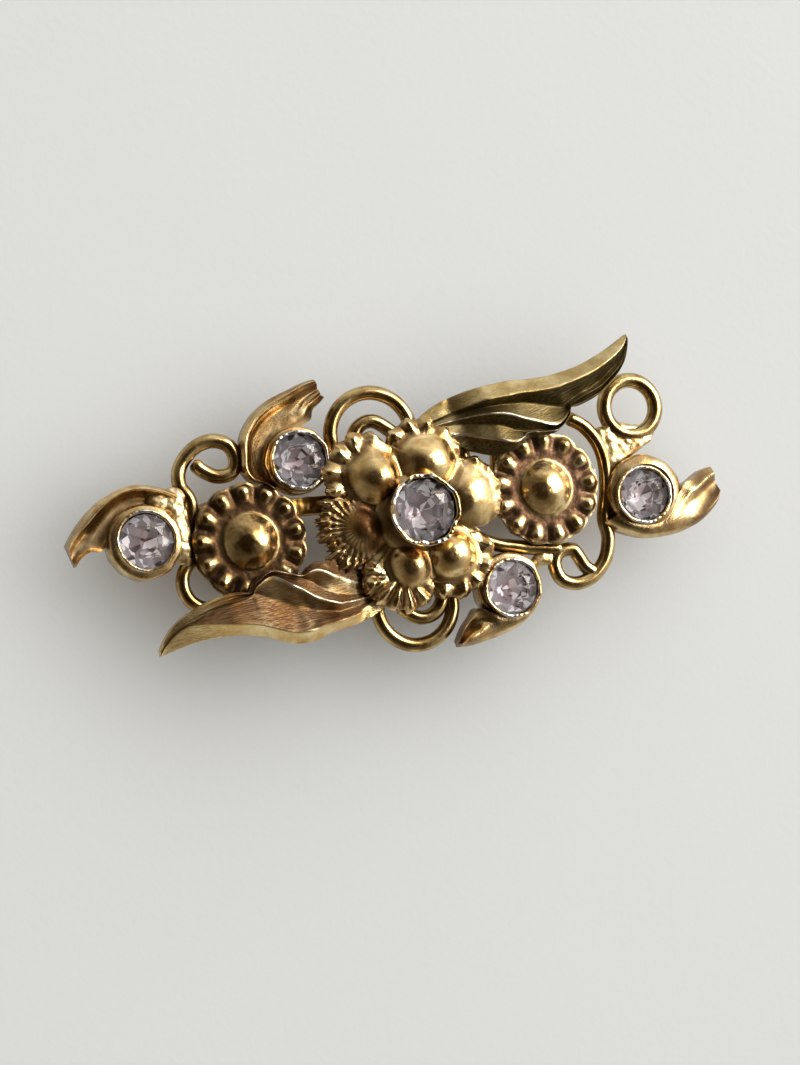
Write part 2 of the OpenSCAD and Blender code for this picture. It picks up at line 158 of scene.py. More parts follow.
def finished_copy(node, name, edge, material):
    """A CAD node's shape with its sharp edges eased, as a piece of its own."""
    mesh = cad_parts[node].data.copy()
    mesh.name = name
    shape = bmesh.new()
    shape.from_mesh(mesh)
    bmesh.ops.remove_doubles(shape, verts=shape.verts, dist=0.001 * MM)
    bmesh.ops.dissolve_limit(shape, angle_limit=math.radians(1), verts=shape.verts,
                             edges=shape.edges)
    sharp = [e for e in shape.edges if e.is_manifold and e.calc_face_angle() > math.radians(40)]
    bmesh.ops.bevel(shape, geom=sharp, offset=edge * MM, segments=3, profile=0.5,
                    affect="EDGES", clamp_overlap=True)
    shape.to_mesh(mesh)
    shape.free()
    mesh.materials.clear()
    mesh.materials.append(material)
    mesh.shade_smooth()
    mesh.set_sharp_from_angle(angle=math.radians(35))
    return add_object(name, mesh)


# Raw brass: brown yellow, with blurred highlights.
pin_brass = gilt("raw_brass", "#c19a55", "#a67c3e", "#4a3018", 0.36, waves=0.01, grain=0.01)
bar_pin = finished_copy("bar_pin", "pin_and_bar", 0.14, pin_brass)
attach(bar_pin, "root")
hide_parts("bar_pin")

# Scrolls: round brass wire bent by hand into loops, arches, curls and two rings, then
# gilt. Geometry Nodes sweep a round section along the routes. Rounded blunt ends.
WIRE_R = 0.62
WIRE_Z = 5.45  # height of the wires' middle
CURL = -0.05  # how far the inner curls and the crossing wire are off that height
CROSS = 0.07
END_LENGTH = 0.45  # of the rounding at a wire's end, mm
END_WIDTH = 0.55  # least share of the width there


def arc(centre, radius, start, end, count, z):
    """Points on an arc in plan, angles in degrees."""
    turns = [math.radians(start + (end - start) * i / count) for i in range(count + 1)]
    return [(centre[0] + radius * math.cos(a), centre[1] + radius * math.sin(a), z)
            for a in turns]


# Points of the routes, in columns x, y, height from the wires' middle
LOOP = [(-16.5, 5.1, 0), (-15.4, 4.6, 0), (-14.2, 4.8, 0), (-13.7, 5.8, 0), (-14.2, 7.1, 0),
        (-15.6, 7.6, 0), (-17.2, 7.1, 0), (-18.5, 5.7, 0), (-18.8, 4.1, 0.3), (-18.1, 2.6, 0.5)]
OPEN_ROUTES = [
    [(-17.4, 5.9, 0)] + LOOP + [(-18.3, 0, CURL), (-18.4, -2.4, CURL)],
    [(17.4, -6.9, 0), (16.5, -6.2, 0), (15.9, -5.1, 0)] + [(-x, -y, z) for x, y, z in LOOP[1:8]]
    + [(19, -3.9, 0), (18.8, -2.2, 0), (19.3, 0, 0), (19.5, 2.2, 0), (19.1, 4.3, 0),
       (17.9, 6, 0), (16.4, 6.9, 0)],
    [(-5, 1.4, 0), (-5.2, 4, 0)] + arc((-1.6, 6.9), 3.62, 185, -5, 14, 0)
    + [(2.1, 4.6, 0), (2.2, 1.4, 0)],
    [(-3.5, 1.4, CURL), (-3.5, 5.4, CURL), (-2.9, 7.4, CURL), (-1.6, 8.1, CURL),
     (-0.3, 7.5, CURL), (1.95, 5.35, CURL)],
    [(-2.6, 1.4, 0), (-2.9, -4, 0)] + arc((0.55, -7.9), 3.4, 175, 365, 14, 0)
    + [(4.15, -5.1, 0), (4.25, 1.4, 0)],
    [(-1.3, 1.4, CURL)] + arc((1.25, -7.2), 1.85, 190, 370, 8, CURL) + [(3.8, -5.2, CURL)],
    [(14.5, -4.5, CROSS), (11, -4, CROSS), (8, -3.3, CROSS), (4.1, -1.3, CROSS)],
    [(6.4, 5.6, 0), (6.5, 3.6, 0), (6.3, 1.5, 0)],
    [(9.6, 5.4, 0), (9.5, 3.6, 0), (9.2, 1.5, 0)],
]
# Columns: middle, radius, thickness in shares of the wire's
RINGS = [((22.5, 7.25), 2.42, 1.08), ((-17.2, -4.1), 2.2, 0.95)]


def plain_mesh(piece):
    """Turns a piece into the plain mesh that its modifiers make, and drops them."""
    view = bpy.context.evaluated_depsgraph_get()
    mesh = bpy.data.meshes.new_from_object(piece.evaluated_get(view))
    mesh.name = piece.name
    piece.modifiers.clear()
    piece.data = mesh


def add_socket(tree, name, kind, value=None, output=False):
    socket = tree.interface.new_socket(name, in_out="OUTPUT" if output else "INPUT",
                                       socket_type=kind)
    if value is not None:
        socket.default_value = value


def drifted(tree, geometry, size, seed, depth):
    """Adds the nodes that push points aside by smooth noise of this size in mm."""
    place = put(tree, "GeometryNodeInputPosition")
    drift = put(tree, "ShaderNodeTexNoise", {
        "Vector": place, "Scale": per_mm(size), "W": seed}, noise_dimensions="4D")
    centred = put(tree, "ShaderNodeVectorMath", {
        0: drift.outputs["Color"], 1: (0.5, 0.5, 0.5)}, operation="SUBTRACT")
    step = put(tree, "ShaderNodeVectorMath", {0: centred, "Scale": depth}, operation="SCALE")
    return put(tree, "GeometryNodeSetPosition", {"Geometry": geometry, "Offset": step})


def wire_tree(material):
    """Sweeps a round section along every route, with rounded ends and a hand-bent waver."""
    tree = bpy.data.node_groups.new("bent_wire", "GeometryNodeTree")
    add_socket(tree, "Routes", "NodeSocketGeometry")
    add_socket(tree, "Wire radius", "NodeSocketFloat", WIRE_R * MM)
    add_socket(tree, "Ring spacing", "NodeSocketFloat", 0.14 * MM)
    add_socket(tree, "Sides", "NodeSocketInt", 26)
    add_socket(tree, "Waver", "NodeSocketFloat", 0.035 * MM)
    add_socket(tree, "Wire", "NodeSocketGeometry", output=True)
    given = put(tree, "NodeGroupInput").outputs
    line = put(tree, "GeometryNodeMeshToCurve", {"Mesh": given["Routes"]})
    even = put(tree, "GeometryNodeResampleCurve", {
        "Curve": line, "Length": given["Ring spacing"]}, mode="LENGTH")
    bent = drifted(tree, even, 2.4, 3.0, given["Waver"])
    spot = put(tree, "GeometryNodeSplineParameter").outputs["Length"]
    whole = put(tree, "GeometryNodeSplineLength").outputs["Length"]
    back = put(tree, "ShaderNodeMath", {0: whole, 1: spot}, operation="SUBTRACT")
    near = put(tree, "ShaderNodeMath", {0: spot, 1: back}, operation="MINIMUM")
    share = put(tree, "ShaderNodeMapRange", {"Value": near, "From Max": END_LENGTH * MM})
    rest = put(tree, "ShaderNodeMath", {0: 1.0, 1: share}, operation="SUBTRACT")
    cube = put(tree, "ShaderNodeMath", {0: rest, 1: 3.0}, operation="POWER")
    round_end = put(tree, "ShaderNodeMath", {0: 1.0, 1: cube}, operation="SUBTRACT")
    eased = put(tree, "ShaderNodeMath", {0: round_end, 1: 0.5}, operation="POWER")
    size = put(tree, "ShaderNodeMath", {0: eased, 1: END_WIDTH}, operation="MAXIMUM")
    closed = put(tree, "GeometryNodeInputSplineCyclic")
    width = put(tree, "GeometryNodeSwitch", {
        "Switch": closed, "False": size, "True": 1.0}, input_type="FLOAT")
    thick = put(tree, "GeometryNodeInputNamedAttribute", {"Name": "thickness"}, data_type="FLOAT")
    width = put(tree, "ShaderNodeMath", {0: width, 1: thick}, operation="MULTIPLY")
    sized = put(tree, "GeometryNodeSetCurveRadius", {"Curve": bent, "Radius": width})
    section = put(tree, "GeometryNodeCurvePrimitiveCircle", {
        "Resolution": given["Sides"], "Radius": given["Wire radius"]})
    radius = put(tree, "GeometryNodeInputRadius")
    swept = put(tree, "GeometryNodeCurveToMesh", {
        "Curve": sized, "Profile Curve": section, "Scale": radius, "Fill Caps": True})
    real = put(tree, "GeometryNodeRealizeInstances", {"Geometry": swept})
    smooth = put(tree, "GeometryNodeSetShadeSmooth", {"Geometry": real})
    coat = put(tree, "GeometryNodeSetMaterial", {"Geometry": smooth, "Material": material})
    put(tree, "NodeGroupOutput", {"Wire": coat})
    return tree


def spline(rows, steps):
    """Smooth rows of numbers through the given rows, with this many steps between two."""
    result = []
    last = len(rows) - 1
    for i in range(last):
        a, b, c, d = rows[max(i - 1, 0)], rows[i], rows[i + 1], rows[min(i + 2, last)]
        for k in range(steps + (i == last - 1)):
            t = k / steps
            result.append([0.5 * (2 * q + (r - p) * t + (2 * p - 5 * q + 4 * r - s) * t * t
                                  + (3 * q - p - 3 * r + s) * t ** 3)
                           for p, q, r, s in zip(a, b, c, d)])
    return result


# Gilt over drawn wire: bronze, with one soft bright streak along each bend.
wire_gilt = gilt("gilt_wire", "#c8ae78", "#8f7144", "#3e2816", 0.2, waves=0.01, grain=0.003)
to_place = SHIFT + Vector((0, 0, WIRE_Z))
chain_points, chain_edges, thickness = [], [], []
for route in OPEN_ROUTES:
    smooth_route = spline(route, 6)
    start = len(chain_points)
    chain_points += [(Vector(p) + to_place) * MM for p in smooth_route]
    chain_edges += [(start + i, start + i + 1) for i in range(len(smooth_route) - 1)]
    thickness += [1.0] * len(smooth_route)
for centre, radius, thick in RINGS:
    around = arc(centre, radius, 0, 360, 64, 0)[:-1]
    start = len(chain_points)
    chain_points += [(Vector(p) + to_place) * MM for p in around]
    chain_edges += [(start + i, start + (i + 1) % len(around)) for i in range(len(around))]
    thickness += [thick] * len(around)
mesh = bpy.data.meshes.new("wire_scrolls")
mesh.from_pydata(chain_points, chain_edges, [])
mesh.attributes.new("thickness", "FLOAT", "POINT").data.foreach_set("value", thickness)
scrolls = add_object("wire_scrolls", mesh)
scrolls.modifiers.new("wire", "NODES").node_group = wire_tree(wire_gilt)
plain_mesh(scrolls)
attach(scrolls, "root")
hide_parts("scroll_frame")

# Horns: four cast and polished crescents, each curling round a stone and cut off blunt at
# its end. The left two are troughs inside a bevelled edge, the right two slope outwards and
# end in grooves. A flat or climbing collar and a plain bezel cup, both a little out of true,
# hold the stone.
FRAME_LOW = 4.8
HORN_LOW = 5.1
HORN_SIDE = 5.7  # top of a horn's plain side walls
COLLAR_IN = 2.5
COLLAR_TOP = 6.75
CUP_IN = 2.26
CUP_OUT = 2.54
CUP_TOP = 7.6
LEFT_STONE = (-22.4, -0.3)
UPPER_LEFT_STONE = (-8.7, 5.2)
LOWER_RIGHT_STONE = (8.9, -7.4)
RIGHT_STONE = (22.1, -0.6)


def mix(a, b, t):
    return a + (b - a) * t


def ramp(x, low, high):
    """0 below low, 1 above high and smooth between them."""
    t = min(1, max(0, (x - low) / (high - low)))
    return t * t * (3 - 2 * t)


def table(rows, x):
    """Straight interpolation in rows of x and value."""
    for (x0, y0), (x1, y1) in zip(rows, rows[1:]):
        if x <= x1:
            return mix(y0, y1, (x - x0) / (x1 - x0)) if x > x0 else y0
    return rows[-1][1]


def polar(turn, distance, z=0.0):
    """A point at this direction in degrees, distance and height."""
    return Vector((distance * math.cos(math.radians(turn)),
                   distance * math.sin(math.radians(turn)), z))


def waver(point, size, depth, seed=0):
    """Smooth unevenness of this size and depth, in mm."""
    return depth * noise.noise(Vector((point[0] / size, point[1] / size,
                                       point[2] / size + 7.3 * seed)))


def bands(count, n, closed=False):
    """Faces between rings of n points each, and from the last ring to the first if closed."""
    return [(i * n + k, i * n + (k + 1) % n, (i + 1) % count * n + (k + 1) % n,
             (i + 1) % count * n + k)
            for i in range(count if closed else count - 1) for k in range(n)]


def loft(rings):
    """Points and faces of a closed solid through rings with the same number of points."""
    n = len(rings[0])
    faces = bands(len(rings), n)
    faces.append(tuple(range(n))[::-1])
    faces.append(tuple((len(rings) - 1) * n + k for k in range(n)))
    return [p for ring in rings for p in ring], faces


def dome_over(low_pole, rings, high_pole):
    """Points and faces of a closed solid of rings between two poles."""
    n = len(rings[0])
    points = [p for ring in rings for p in ring] + [low_pole, high_pole]
    faces = bands(len(rings), n)
    low, high, top = len(points) - 2, len(points) - 1, (len(rings) - 1) * n
    for k in range(n):
        faces.append((low, (k + 1) % n, k))
        faces.append((high, top + k, top + (k + 1) % n))
    return points, faces


def face_outward(mesh):
    shape = bmesh.new()
    shape.from_mesh(mesh)
    bmesh.ops.recalc_face_normals(shape, faces=shape.faces)
    shape.to_mesh(mesh)
    shape.free()


def solid_piece(name, shells, material, sharp=40):
    """One object of closed shells. A shell is its points in mm, its faces, and the shares of
    painted shade with tarnish and of wear with painted glint of each point, or a function that
    gives them."""
    points, faces, marks = [], [], []
    for shell_points, shell_faces, mark in shells:
        start = len(points)
        points += shell_points
        faces += [tuple(start + i for i in face) for face in shell_faces]
        marks += mark if isinstance(mark, list) else [mark(p) for p in shell_points]
    mesh = bpy.data.meshes.new(name)
    mesh.from_pydata([(p + SHIFT) * MM for p in points], [], faces)
    mesh.materials.append(material)
    for i, key in enumerate(("shade_and_tarnish", "wear_and_glint")):
        layer = mesh.attributes.new(key, "FLOAT", "POINT")
        layer.data.foreach_set("value", [m[i] for m in marks])
    face_outward(mesh)
    mesh.shade_smooth()
    mesh.set_sharp_from_angle(angle=math.radians(sharp))
    return add_object(name, mesh)


def turned_solid(profile, place, sides=120, shape=None):
    """A turned solid about a place, a ring unless its profile starts and ends on the axis.
    Shape may move each point of the profile by its turn."""
    rings = []
    whole = profile[0][0] == 0
    for r, z in profile[1:-1] if whole else profile:
        ring = []
        for k in range(sides):
            turn = 360 * k / sides
            r2, z2 = shape(r, z, turn) if shape else (r, z)
            ring.append(polar(turn, r2) + Vector((place[0], place[1], z2)))
        rings.append(ring)
    if whole:
        low = Vector((place[0], place[1], profile[0][1]))
        high = Vector((place[0], place[1], profile[-1][1]))
        return dome_over(low, rings, high)
    return [p for ring in rings for p in ring], bands(len(rings), sides, closed=True)


# Sections of each horn about its stone, in columns direction and distance of the outer edge,
# direction and distance of the inner edge
LEFT_HORN = [(48, 4.9, 48, 2.55), (75, 4.7, 75, 2.55), (100, 4.8, 100, 2.55),
             (122, 4.9, 125, 2.55), (140, 5.15, 158, 2.6), (152, 5.45, 184, 3.4),
             (162, 5.8, 184, 4.4), (170, 6.15, 188, 5.3), (177, 6.5, 194, 6.05)]
UPPER_LEFT_HORN = [(226, 3.15, 226, 2.55), (209, 3.5, 209, 2.55), (197, 4.35, 197, 2.55),
                   (184, 4.75, 184, 2.55), (170, 4.8, 170, 2.55), (150, 5.15, 145, 2.55),
                   (132, 5.35, 115, 2.55), (116, 5.55, 85, 2.7), (100, 5.8, 65, 3.6),
                   (88, 6.15, 65, 4.6), (79, 6.65, 61, 5.4), (72, 7.06, 59, 6.03)]
LOWER_RIGHT_HORN = [(-20, 2.9, -20, 2.55), (-60, 3.05, -55, 2.55), (-85, 3.45, -90, 2.55),
                    (-103, 3.95, -125, 2.6), (-116, 4.6, -155, 3.3), (-126, 5.4, -151, 4.3),
                    (-133, 6.15, -147, 5.4), (-138, 6.69, -142, 6.45)]
RIGHT_HORN = [(-150, 4.1, -150, 2.55), (-120, 3.6, -120, 2.55), (-90, 3.7, -90, 2.55),
              (-62, 4.25, -58, 2.6), (-40, 5.25, -20, 2.9), (-28, 6.05, 6, 4),
              (-18, 6.75, 11, 5), (-9.5, 7.4, 15, 6.1), (-4, 7.66, 15.5, 7.2)]
# Heights across a horn at its root and at its tip, in columns share of the way to the
# outer edge, height
TROUGH = [(0, 6.3), (0.12, 6.02), (0.3, 5.9), (0.5, 5.98), (0.64, 6.3), (0.76, 6.8),
          (0.8, 6.96), (0.83, 7), (0.86, 6.98), (0.94, 6.78), (1, 6.5)]
STEPPED = [(0, 6.3), (0.15, 6), (0.32, 6), (0.52, 6.17), (0.64, 6.34), (0.74, 6.8),
           (0.78, 6.9), (0.81, 6.84), (0.85, 6.98), (0.9, 7), (1, 6.5)]
SLOPED = [(0, 6.98), (0.3, 6.96), (0.5, 6.9), (0.66, 6.8), (0.8, 6.64), (0.92, 6.4),
          (1, 6.15)]
GROOVED = [(0, 6.74), (0.08, 6.66), (0.22, 6.3), (0.34, 6.02), (0.44, 6.3), (0.54, 6.82),
           (0.64, 6.98), (0.8, 6.86), (0.93, 6.5), (1, 6.15)]
TAILED = [(0, 6.6), (0.1, 6.75), (0.2, 6.9), (0.26, 6.94), (0.33, 6.84), (0.43, 6.6),
          (0.55, 6.5), (0.7, 6.58), (0.85, 6.78), (0.92, 6.8), (1, 6.45)]
ACROSS = 44  # steps across a horn


def horn_shell(place, rows, root, tip, flutes, seed):
    """A horn's solid: painted shade low in the trough, on its side walls and below its end's
    edge, wear on the ridge and far out.
    """
    fine_root, fine_tip = spline(root, 6), spline(tip, 6)
    fine_rows = spline(rows, 7)
    rings = []
    for i, (out_turn, out_r, in_turn, in_r) in enumerate(fine_rows):
        t = i / (len(fine_rows) - 1)
        outer, inner = polar(out_turn, out_r), polar(in_turn, in_r)
        ring = [polar(in_turn, in_r, HORN_LOW), polar(in_turn, in_r, HORN_SIDE)]
        for k in range(ACROSS + 1):
            s = k / ACROSS
            p = inner.lerp(outer, s)
            z = mix(table(fine_root, s), table(fine_tip, s), ramp(t, 0.45, 0.8))
            z += flutes * math.cos(2 * math.pi * 3 * s) * ramp(t, 0.62, 0.95) * ramp(s, 0, 0.15)
            p.z = z + waver(p, 1.1, 0.035, seed) * ramp(s, 0, 0.2) * ramp(1 - s, 0, 0.1)
            ring.append(p)
        ring += [polar(out_turn, out_r, HORN_SIDE), polar(out_turn, out_r * 0.995, HORN_LOW)]
        for p in ring:
            edge = waver(p, 1.7, 0.05, seed + 5)
            p.x += edge + place[0]
            p.y += edge + place[1]
        rings.append(ring)
    points, faces = loft(rings)

    # Painted shade in the trough, on the walls and under the end's edge; pale wear far out and on
    # the high ridge.
    def mark(p):
        away = (p.xy - Vector(place)).length
        trough = ramp(6.3 - p.z, 0, 0.5) * 0.55 if p.z > HORN_SIDE + 0.05 else 0.5
        end = 0.5 * ramp(away, 4.6, 5.8) * ramp(7 - p.z, 0, 0.15)
        return max(trough, end), max(0.3 * ramp(away, 6.7, 7.3), 0.25 * ramp(p.z, 6.8, 7))

    return points, faces, mark


def cup_shell(place, top, rim_in, rim_out, gap_turn, gap, crumble, wear, seed, floor=5.3,
              low=FRAME_LOW, foot=2.6):
    """A bezel cup: wall, rim that leans in and floor. Its rim is uneven, and the wall stands
    off the stone on one side."""
    profile = [(0, low), (foot - 0.1, low), (foot, low + 0.2), (foot + 0.02, mix(low, top, 0.5)),
               (rim_out + 0.03, top - 0.5), (rim_out + 0.02, top - 0.2), (rim_out, top - 0.1),
               (rim_out - 0.05, top - 0.02), (rim_out - 0.11, top),
               (rim_in + 0.06, top - 0.02), (rim_in + 0.01, top - 0.08),
               (rim_in, top - 0.16), (rim_in + 0.08, top - 0.3), (rim_in + 0.1, top - 0.6),
               (rim_in + 0.1, floor), (0, floor)]

    def shape(r, z, turn):
        high = ramp(z, top - 0.6, top)
        off = gap * max(0, math.cos(math.radians(turn - gap_turn))) ** 2
        spot = polar(turn, 1)
        r += off * high + high * (waver(spot * 2.2, 1, crumble, seed)
                                  + waver(spot * 5, 1, crumble * 0.3, seed + 6))
        z += high * (waver(spot * 2.6, 1, crumble * 0.8, seed + 2)
                     + waver(spot * 11, 1, crumble * 0.35, seed + 4))
        return r, min(z, top + 0.03)

    # Painted shade inside the cup below its rim and a little outside; pale wear in patches on the
    # rim.
    def mark(p):
        flat = p.xy - Vector(place)
        inside = flat.length < rim_in + 0.2
        patch = noise.noise(Vector((flat.x * 0.6, flat.y * 0.6, seed * 5.1))) * 1.3
        return (0.9 * ramp(top - 0.25 - p.z, 0, 0.5) if inside else 0.2,
                max(0, wear + patch) * ramp(p.z, top - 0.45, top - 0.1))

    return *turned_solid(profile, place, 180, shape), mark


def collar_shell(place, radius, climb, seed):
    """The ring round a cup, with a wavy edge, flat or climbing to the cup by so many mm."""
    top = COLLAR_TOP
    profile = [(COLLAR_IN, FRAME_LOW), (radius - 0.1, FRAME_LOW), (radius, FRAME_LOW + 0.2),
               (radius, top - 0.35), (radius - 0.05, top - 0.16), (radius - 0.15, top - 0.04),
               (radius - 0.3, top + 0.03 + 0.2 * climb), (radius - 0.6, top + 0.7 * climb),
               (COLLAR_IN, top + climb)]

    def shape(r, z, turn):
        spot = polar(turn, 1)
        return r + waver(spot * 2.6, 1, 0.12, seed) * ramp(r, COLLAR_IN, radius), z

    return *turned_solid(profile, place, shape=shape), lambda p: (0.1, 0.1)


# Polished gilt casting: pale gold glints on the ridges, red-brown painted shade in the troughs,
# faint scratches.
horn_gilt = gilt("polished_gilt_casting", "#e4cc9a", "#bb9864", "#5e3a22", 0.22,
                 waves=0.028, grain=0.008, scratch=0.012, scratch_turn=0.9)
# Columns: name, stone, sections, heights at the root and at the tip, depth of the flutes at
# the tip, the collar's shift, radius and climb, the direction and width of the gap between
# cup and stone, crumbling and wear of the cup's rim
HORNS = [
    ("horn_left", LEFT_STONE, LEFT_HORN, TROUGH, TROUGH, 0.0, (0, 0), 3.15, 0.22, 130, 0.16,
     0.05, 0.1),
    ("horn_upper_left", UPPER_LEFT_STONE, UPPER_LEFT_HORN, STEPPED, STEPPED, 0.12,
     (0.1, 0.05), 2.85, 0, 20, 0.05, 0.12, 0.55),
    ("horn_lower_right", LOWER_RIGHT_STONE, LOWER_RIGHT_HORN, SLOPED, GROOVED, 0.0,
     (0.1, 0.15), 2.95, 0, 200, 0.05, 0.1, 0.35),
    ("horn_right", RIGHT_STONE, RIGHT_HORN, SLOPED, TAILED, 0.0, (0.45, 0.2), 3.4, 0.35,
     175, 0.14, 0.08, 0.25),
]
for seed, (name, place, rows, root, tip, flutes, off, collar_r, climb, gap_turn, gap, crumble,
           wear) in enumerate(HORNS):
    centre = (place[0] + off[0], place[1] + off[1])
    horn = solid_piece(name, [
        horn_shell(place, rows, root, tip, flutes, seed + 1),
        collar_shell(centre, collar_r, climb, seed),
        cup_shell(place, CUP_TOP, CUP_IN, CUP_OUT, gap_turn, gap, crumble, wear, seed),
    ], horn_gilt)
    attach(horn, "root")
    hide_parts("scroll_frame")

# Back strip and solder: a flat brass strip across the back that everything stands on,
# and lumps and webs of hard solder where wires, rings and horns meet, left crumbly and
# gilt over.
SPINE = (37, 1.5, 0.8)  # length, width, thickness, mm
SPINE_Y = 1.4
SPINE_BARE = 17  # half the length that no solder runs over
# Columns: x and y of three places, radius of the lump that runs round them, and how far its
# middle is above the wires'
SOLDER = [(-19.5, 3, -19.6, 1.4, -19.3, -1.2, 1.1, 0.2),
          (-20.9, 2.9, -19.8, 2.3, -19.3, 3.2, 0.95, 0.4),
          (-19, 2.1, -19, 0, -19, -2.1, 0.6, 0.3),
          (-13.5, 6.4, -13.4, 5.2, -13.2, 5.8, 0.5, -0.08),
          (-5.6, 6.2, -5.4, 5.2, -5.2, 4.4, 0.5, -0.08),
          (5.6, -6, 6.3, -6.5, 4.4, -6.5, 0.5, -0.08),
          (12, -5.4, 13.6, -5.2, 13, -4.4, 0.5, -0.08),
          (19.3, 5.3, 23.7, 4.5, 19.9, 2.4, 0.55, -0.08),
          (20.2, 5.7, 21.2, 4.9, 24, 5, 0.55, -0.08),
          (19, -1.7, 19.8, -2.1, 19.6, -0.3, 0.5, -0.08)]
# Gilt over solder: pale and grainy, with broken highlights.
solder_gilt = gilt("gilt_solder", "#f2e2b4", "#b89760", "#5a3d20", 0.4, waves=0.025,
                   grain=0.045, dirt_and_shade=0.5, patches=0.7)
shape = bmesh.new()
for row in SOLDER:
    lump = bmesh.new()
    for k in range(3):
        spot = Vector((row[2 * k], row[2 * k + 1], WIRE_Z + row[7])) + SHIFT
        bmesh.ops.create_icosphere(lump, subdivisions=2, radius=row[6] * MM,
                                   matrix=Matrix.Translation(spot * MM))
    bmesh.ops.convex_hull(lump, input=lump.verts)
    loose = [v for v in lump.verts if not v.link_faces]
    bmesh.ops.delete(lump, geom=loose, context="VERTS")
    part = bpy.data.meshes.new("lump")
    lump.to_mesh(part)
    lump.free()
    shape.from_mesh(part)
    bpy.data.meshes.remove(part)
strip = bmesh.ops.create_cube(shape, size=1)["verts"]
for v in strip:
    v.co = (Vector((v.co.x * SPINE[0], SPINE_Y + v.co.y * SPINE[1],
                    FRAME_LOW + (v.co.z + 0.5) * SPINE[2])) + SHIFT) * MM
mesh = bpy.data.meshes.new("solder_and_strip")
shape.to_mesh(mesh)
shape.free()
solder = add_object("solder_and_strip", mesh)
remesh = solder.modifiers.new("run together", "REMESH")
remesh.mode = "VOXEL"
remesh.voxel_size = 0.1 * MM
plain_mesh(solder)
outward = [v.normal.copy() for v in solder.data.vertices]
for v, normal in zip(solder.data.vertices, outward):
    p = v.co / MM
    top = ramp(p.z, 5.3, 5.8)
    v.co += normal * MM * top * (waver(p, 0.5, 0.12, 3) + waver(p, 1.4, 0.1, 4))
solder.data.materials.clear()
solder.data.materials.append(solder_gilt)
solder.data.materials.append(pin_brass)
for face in solder.data.polygons:
    spot = face.center / MM - SHIFT
    if abs(spot.y - SPINE_Y) < SPINE[1] / 2 + 0.1 and abs(spot.x) < SPINE_BARE:
        face.material_index = 1
solder.data.shade_smooth()
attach(solder, "root")
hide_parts("scroll_frame")

# Small flowers: two cast and polished flowers, a dome with a soft foot inside a ring of
# thirteen long beads, on a post. One bead's sector is modelled and Geometry Nodes repeat it
# round the flower. The left one has kept its bronze toning.
FLOWER_LOW = 6.15
POST_LOW = FRAME_LOW + SPINE[2] + 0.05
POST_R = 1.2
SMALL_R = 5.0
BEADS = 13
BEAD_IN = 3.6  # from here out the surface stretches to the scalloped edge
BEAD_OUT = 4.94  # where the tables of heights end, at the edge
EDGE_Z = 6.35
SECTOR_STEPS = 28
LEFT_FLOWER = (-13.6, -1.15)
RIGHT_FLOWER = (13.15, 0.85)
# Height of the flower in the valleys between its beads, and how much the beads stand over
# them, in columns radius, height
FLOWER_FLOOR = spline([(2.1, 6.84), (2.3, 6.84), (2.5, 6.86), (2.75, 6.9), (3, 6.93),
                       (3.25, 6.9), (3.5, 6.82), (3.8, 6.71), (4.3, 6.65), (4.6, 6.6),
                       (4.8, 6.5)], 6)
BEAD_LIFT = spline([(2.95, 0), (3.2, 0.06), (3.5, 0.22), (3.8, 0.41), (4.15, 0.53),
                    (4.45, 0.5), (4.65, 0.38), (4.85, 0.17), (4.95, 0.03)], 6)
# Height of a dome with its soft foot, in columns share of its radius, share of its height
DOME_SHARES = spline([(0, 1), (0.25, 0.95), (0.45, 0.84), (0.62, 0.69), (0.77, 0.51),
                      (0.9, 0.33), (1, 0.19), (1.1, 0.09), (1.2, 0.02), (1.3, -0.05)], 4)
SMALL_DOME_R = 2.3
SMALL_DOME_Z = 6.75
SMALL_DOME_H = 1.45


def soft_top(a, b, width):
    """The higher of two heights, run together over this width."""
    near = max(0, width - abs(a - b)) / width
    return max(a, b) + near * near * width / 4


def flower_height(r, rib):
    """Height of a small flower at this radius, and at this share of the way up a bead."""
    z = table(FLOWER_FLOOR, r) + table(BEAD_LIFT, r) * rib
    dome = SMALL_DOME_Z + SMALL_DOME_H * table(DOME_SHARES, r / SMALL_DOME_R)
    return soft_top(z, dome, 0.25)


def flower_sector():
    """One thirteenth of a flower, open at its two cut sides, in mm. Its points stand close
    together where the dome falls steeply to its foot."""
    radii = [0.02 + 2.1 * math.sin(math.radians(90 * i / 22)) for i in range(23)]
    radii += [2.125 + 0.02 * i for i in range(8)] + [2.3 + 0.07 * i for i in range(1, 39)]
    radii = [r for r in radii if r < BEAD_OUT] + [BEAD_OUT]
    columns = []
    for k in range(SECTOR_STEPS + 1):
        share = k / SECTOR_STEPS
        turn = 360 / BEADS * (share - 0.5)
        rib = max(0, math.cos(math.pi / 2 * (2 * share - 1))) ** 1.25
        edge = SMALL_R - 0.22 + 0.18 * rib
        column = []
        for r in radii:
            reach = r
            if r >= BEAD_IN:
                reach = mix(BEAD_IN, edge, (r - BEAD_IN) / (BEAD_OUT - BEAD_IN))
            column.append(polar(turn, reach, flower_height(r, rib)))
        column += [polar(turn, edge + 0.02, EDGE_Z), polar(turn, edge - 0.12, FLOWER_LOW + 0.06),
                   polar(turn, edge - 0.4, FLOWER_LOW), polar(turn, POST_R + 0.1, FLOWER_LOW),
                   polar(turn, POST_R, FLOWER_LOW - 0.08), polar(turn, POST_R, POST_LOW + 0.02)]
        columns.append(column)
    n = len(columns[0])
    points = [p for column in columns for p in column]
    points += [Vector((0, 0, SMALL_DOME_Z + SMALL_DOME_H)), Vector((0, 0, POST_LOW + 0.02))]
    faces = []
    for k in range(SECTOR_STEPS):
        a, b = k * n, (k + 1) * n
        faces += [(a + i, a + i + 1, b + i + 1, b + i) for i in range(n - 1)]
        faces += [(len(points) - 2, a, b), (len(points) - 1, b + n - 1, a + n - 1)]
    return points, faces


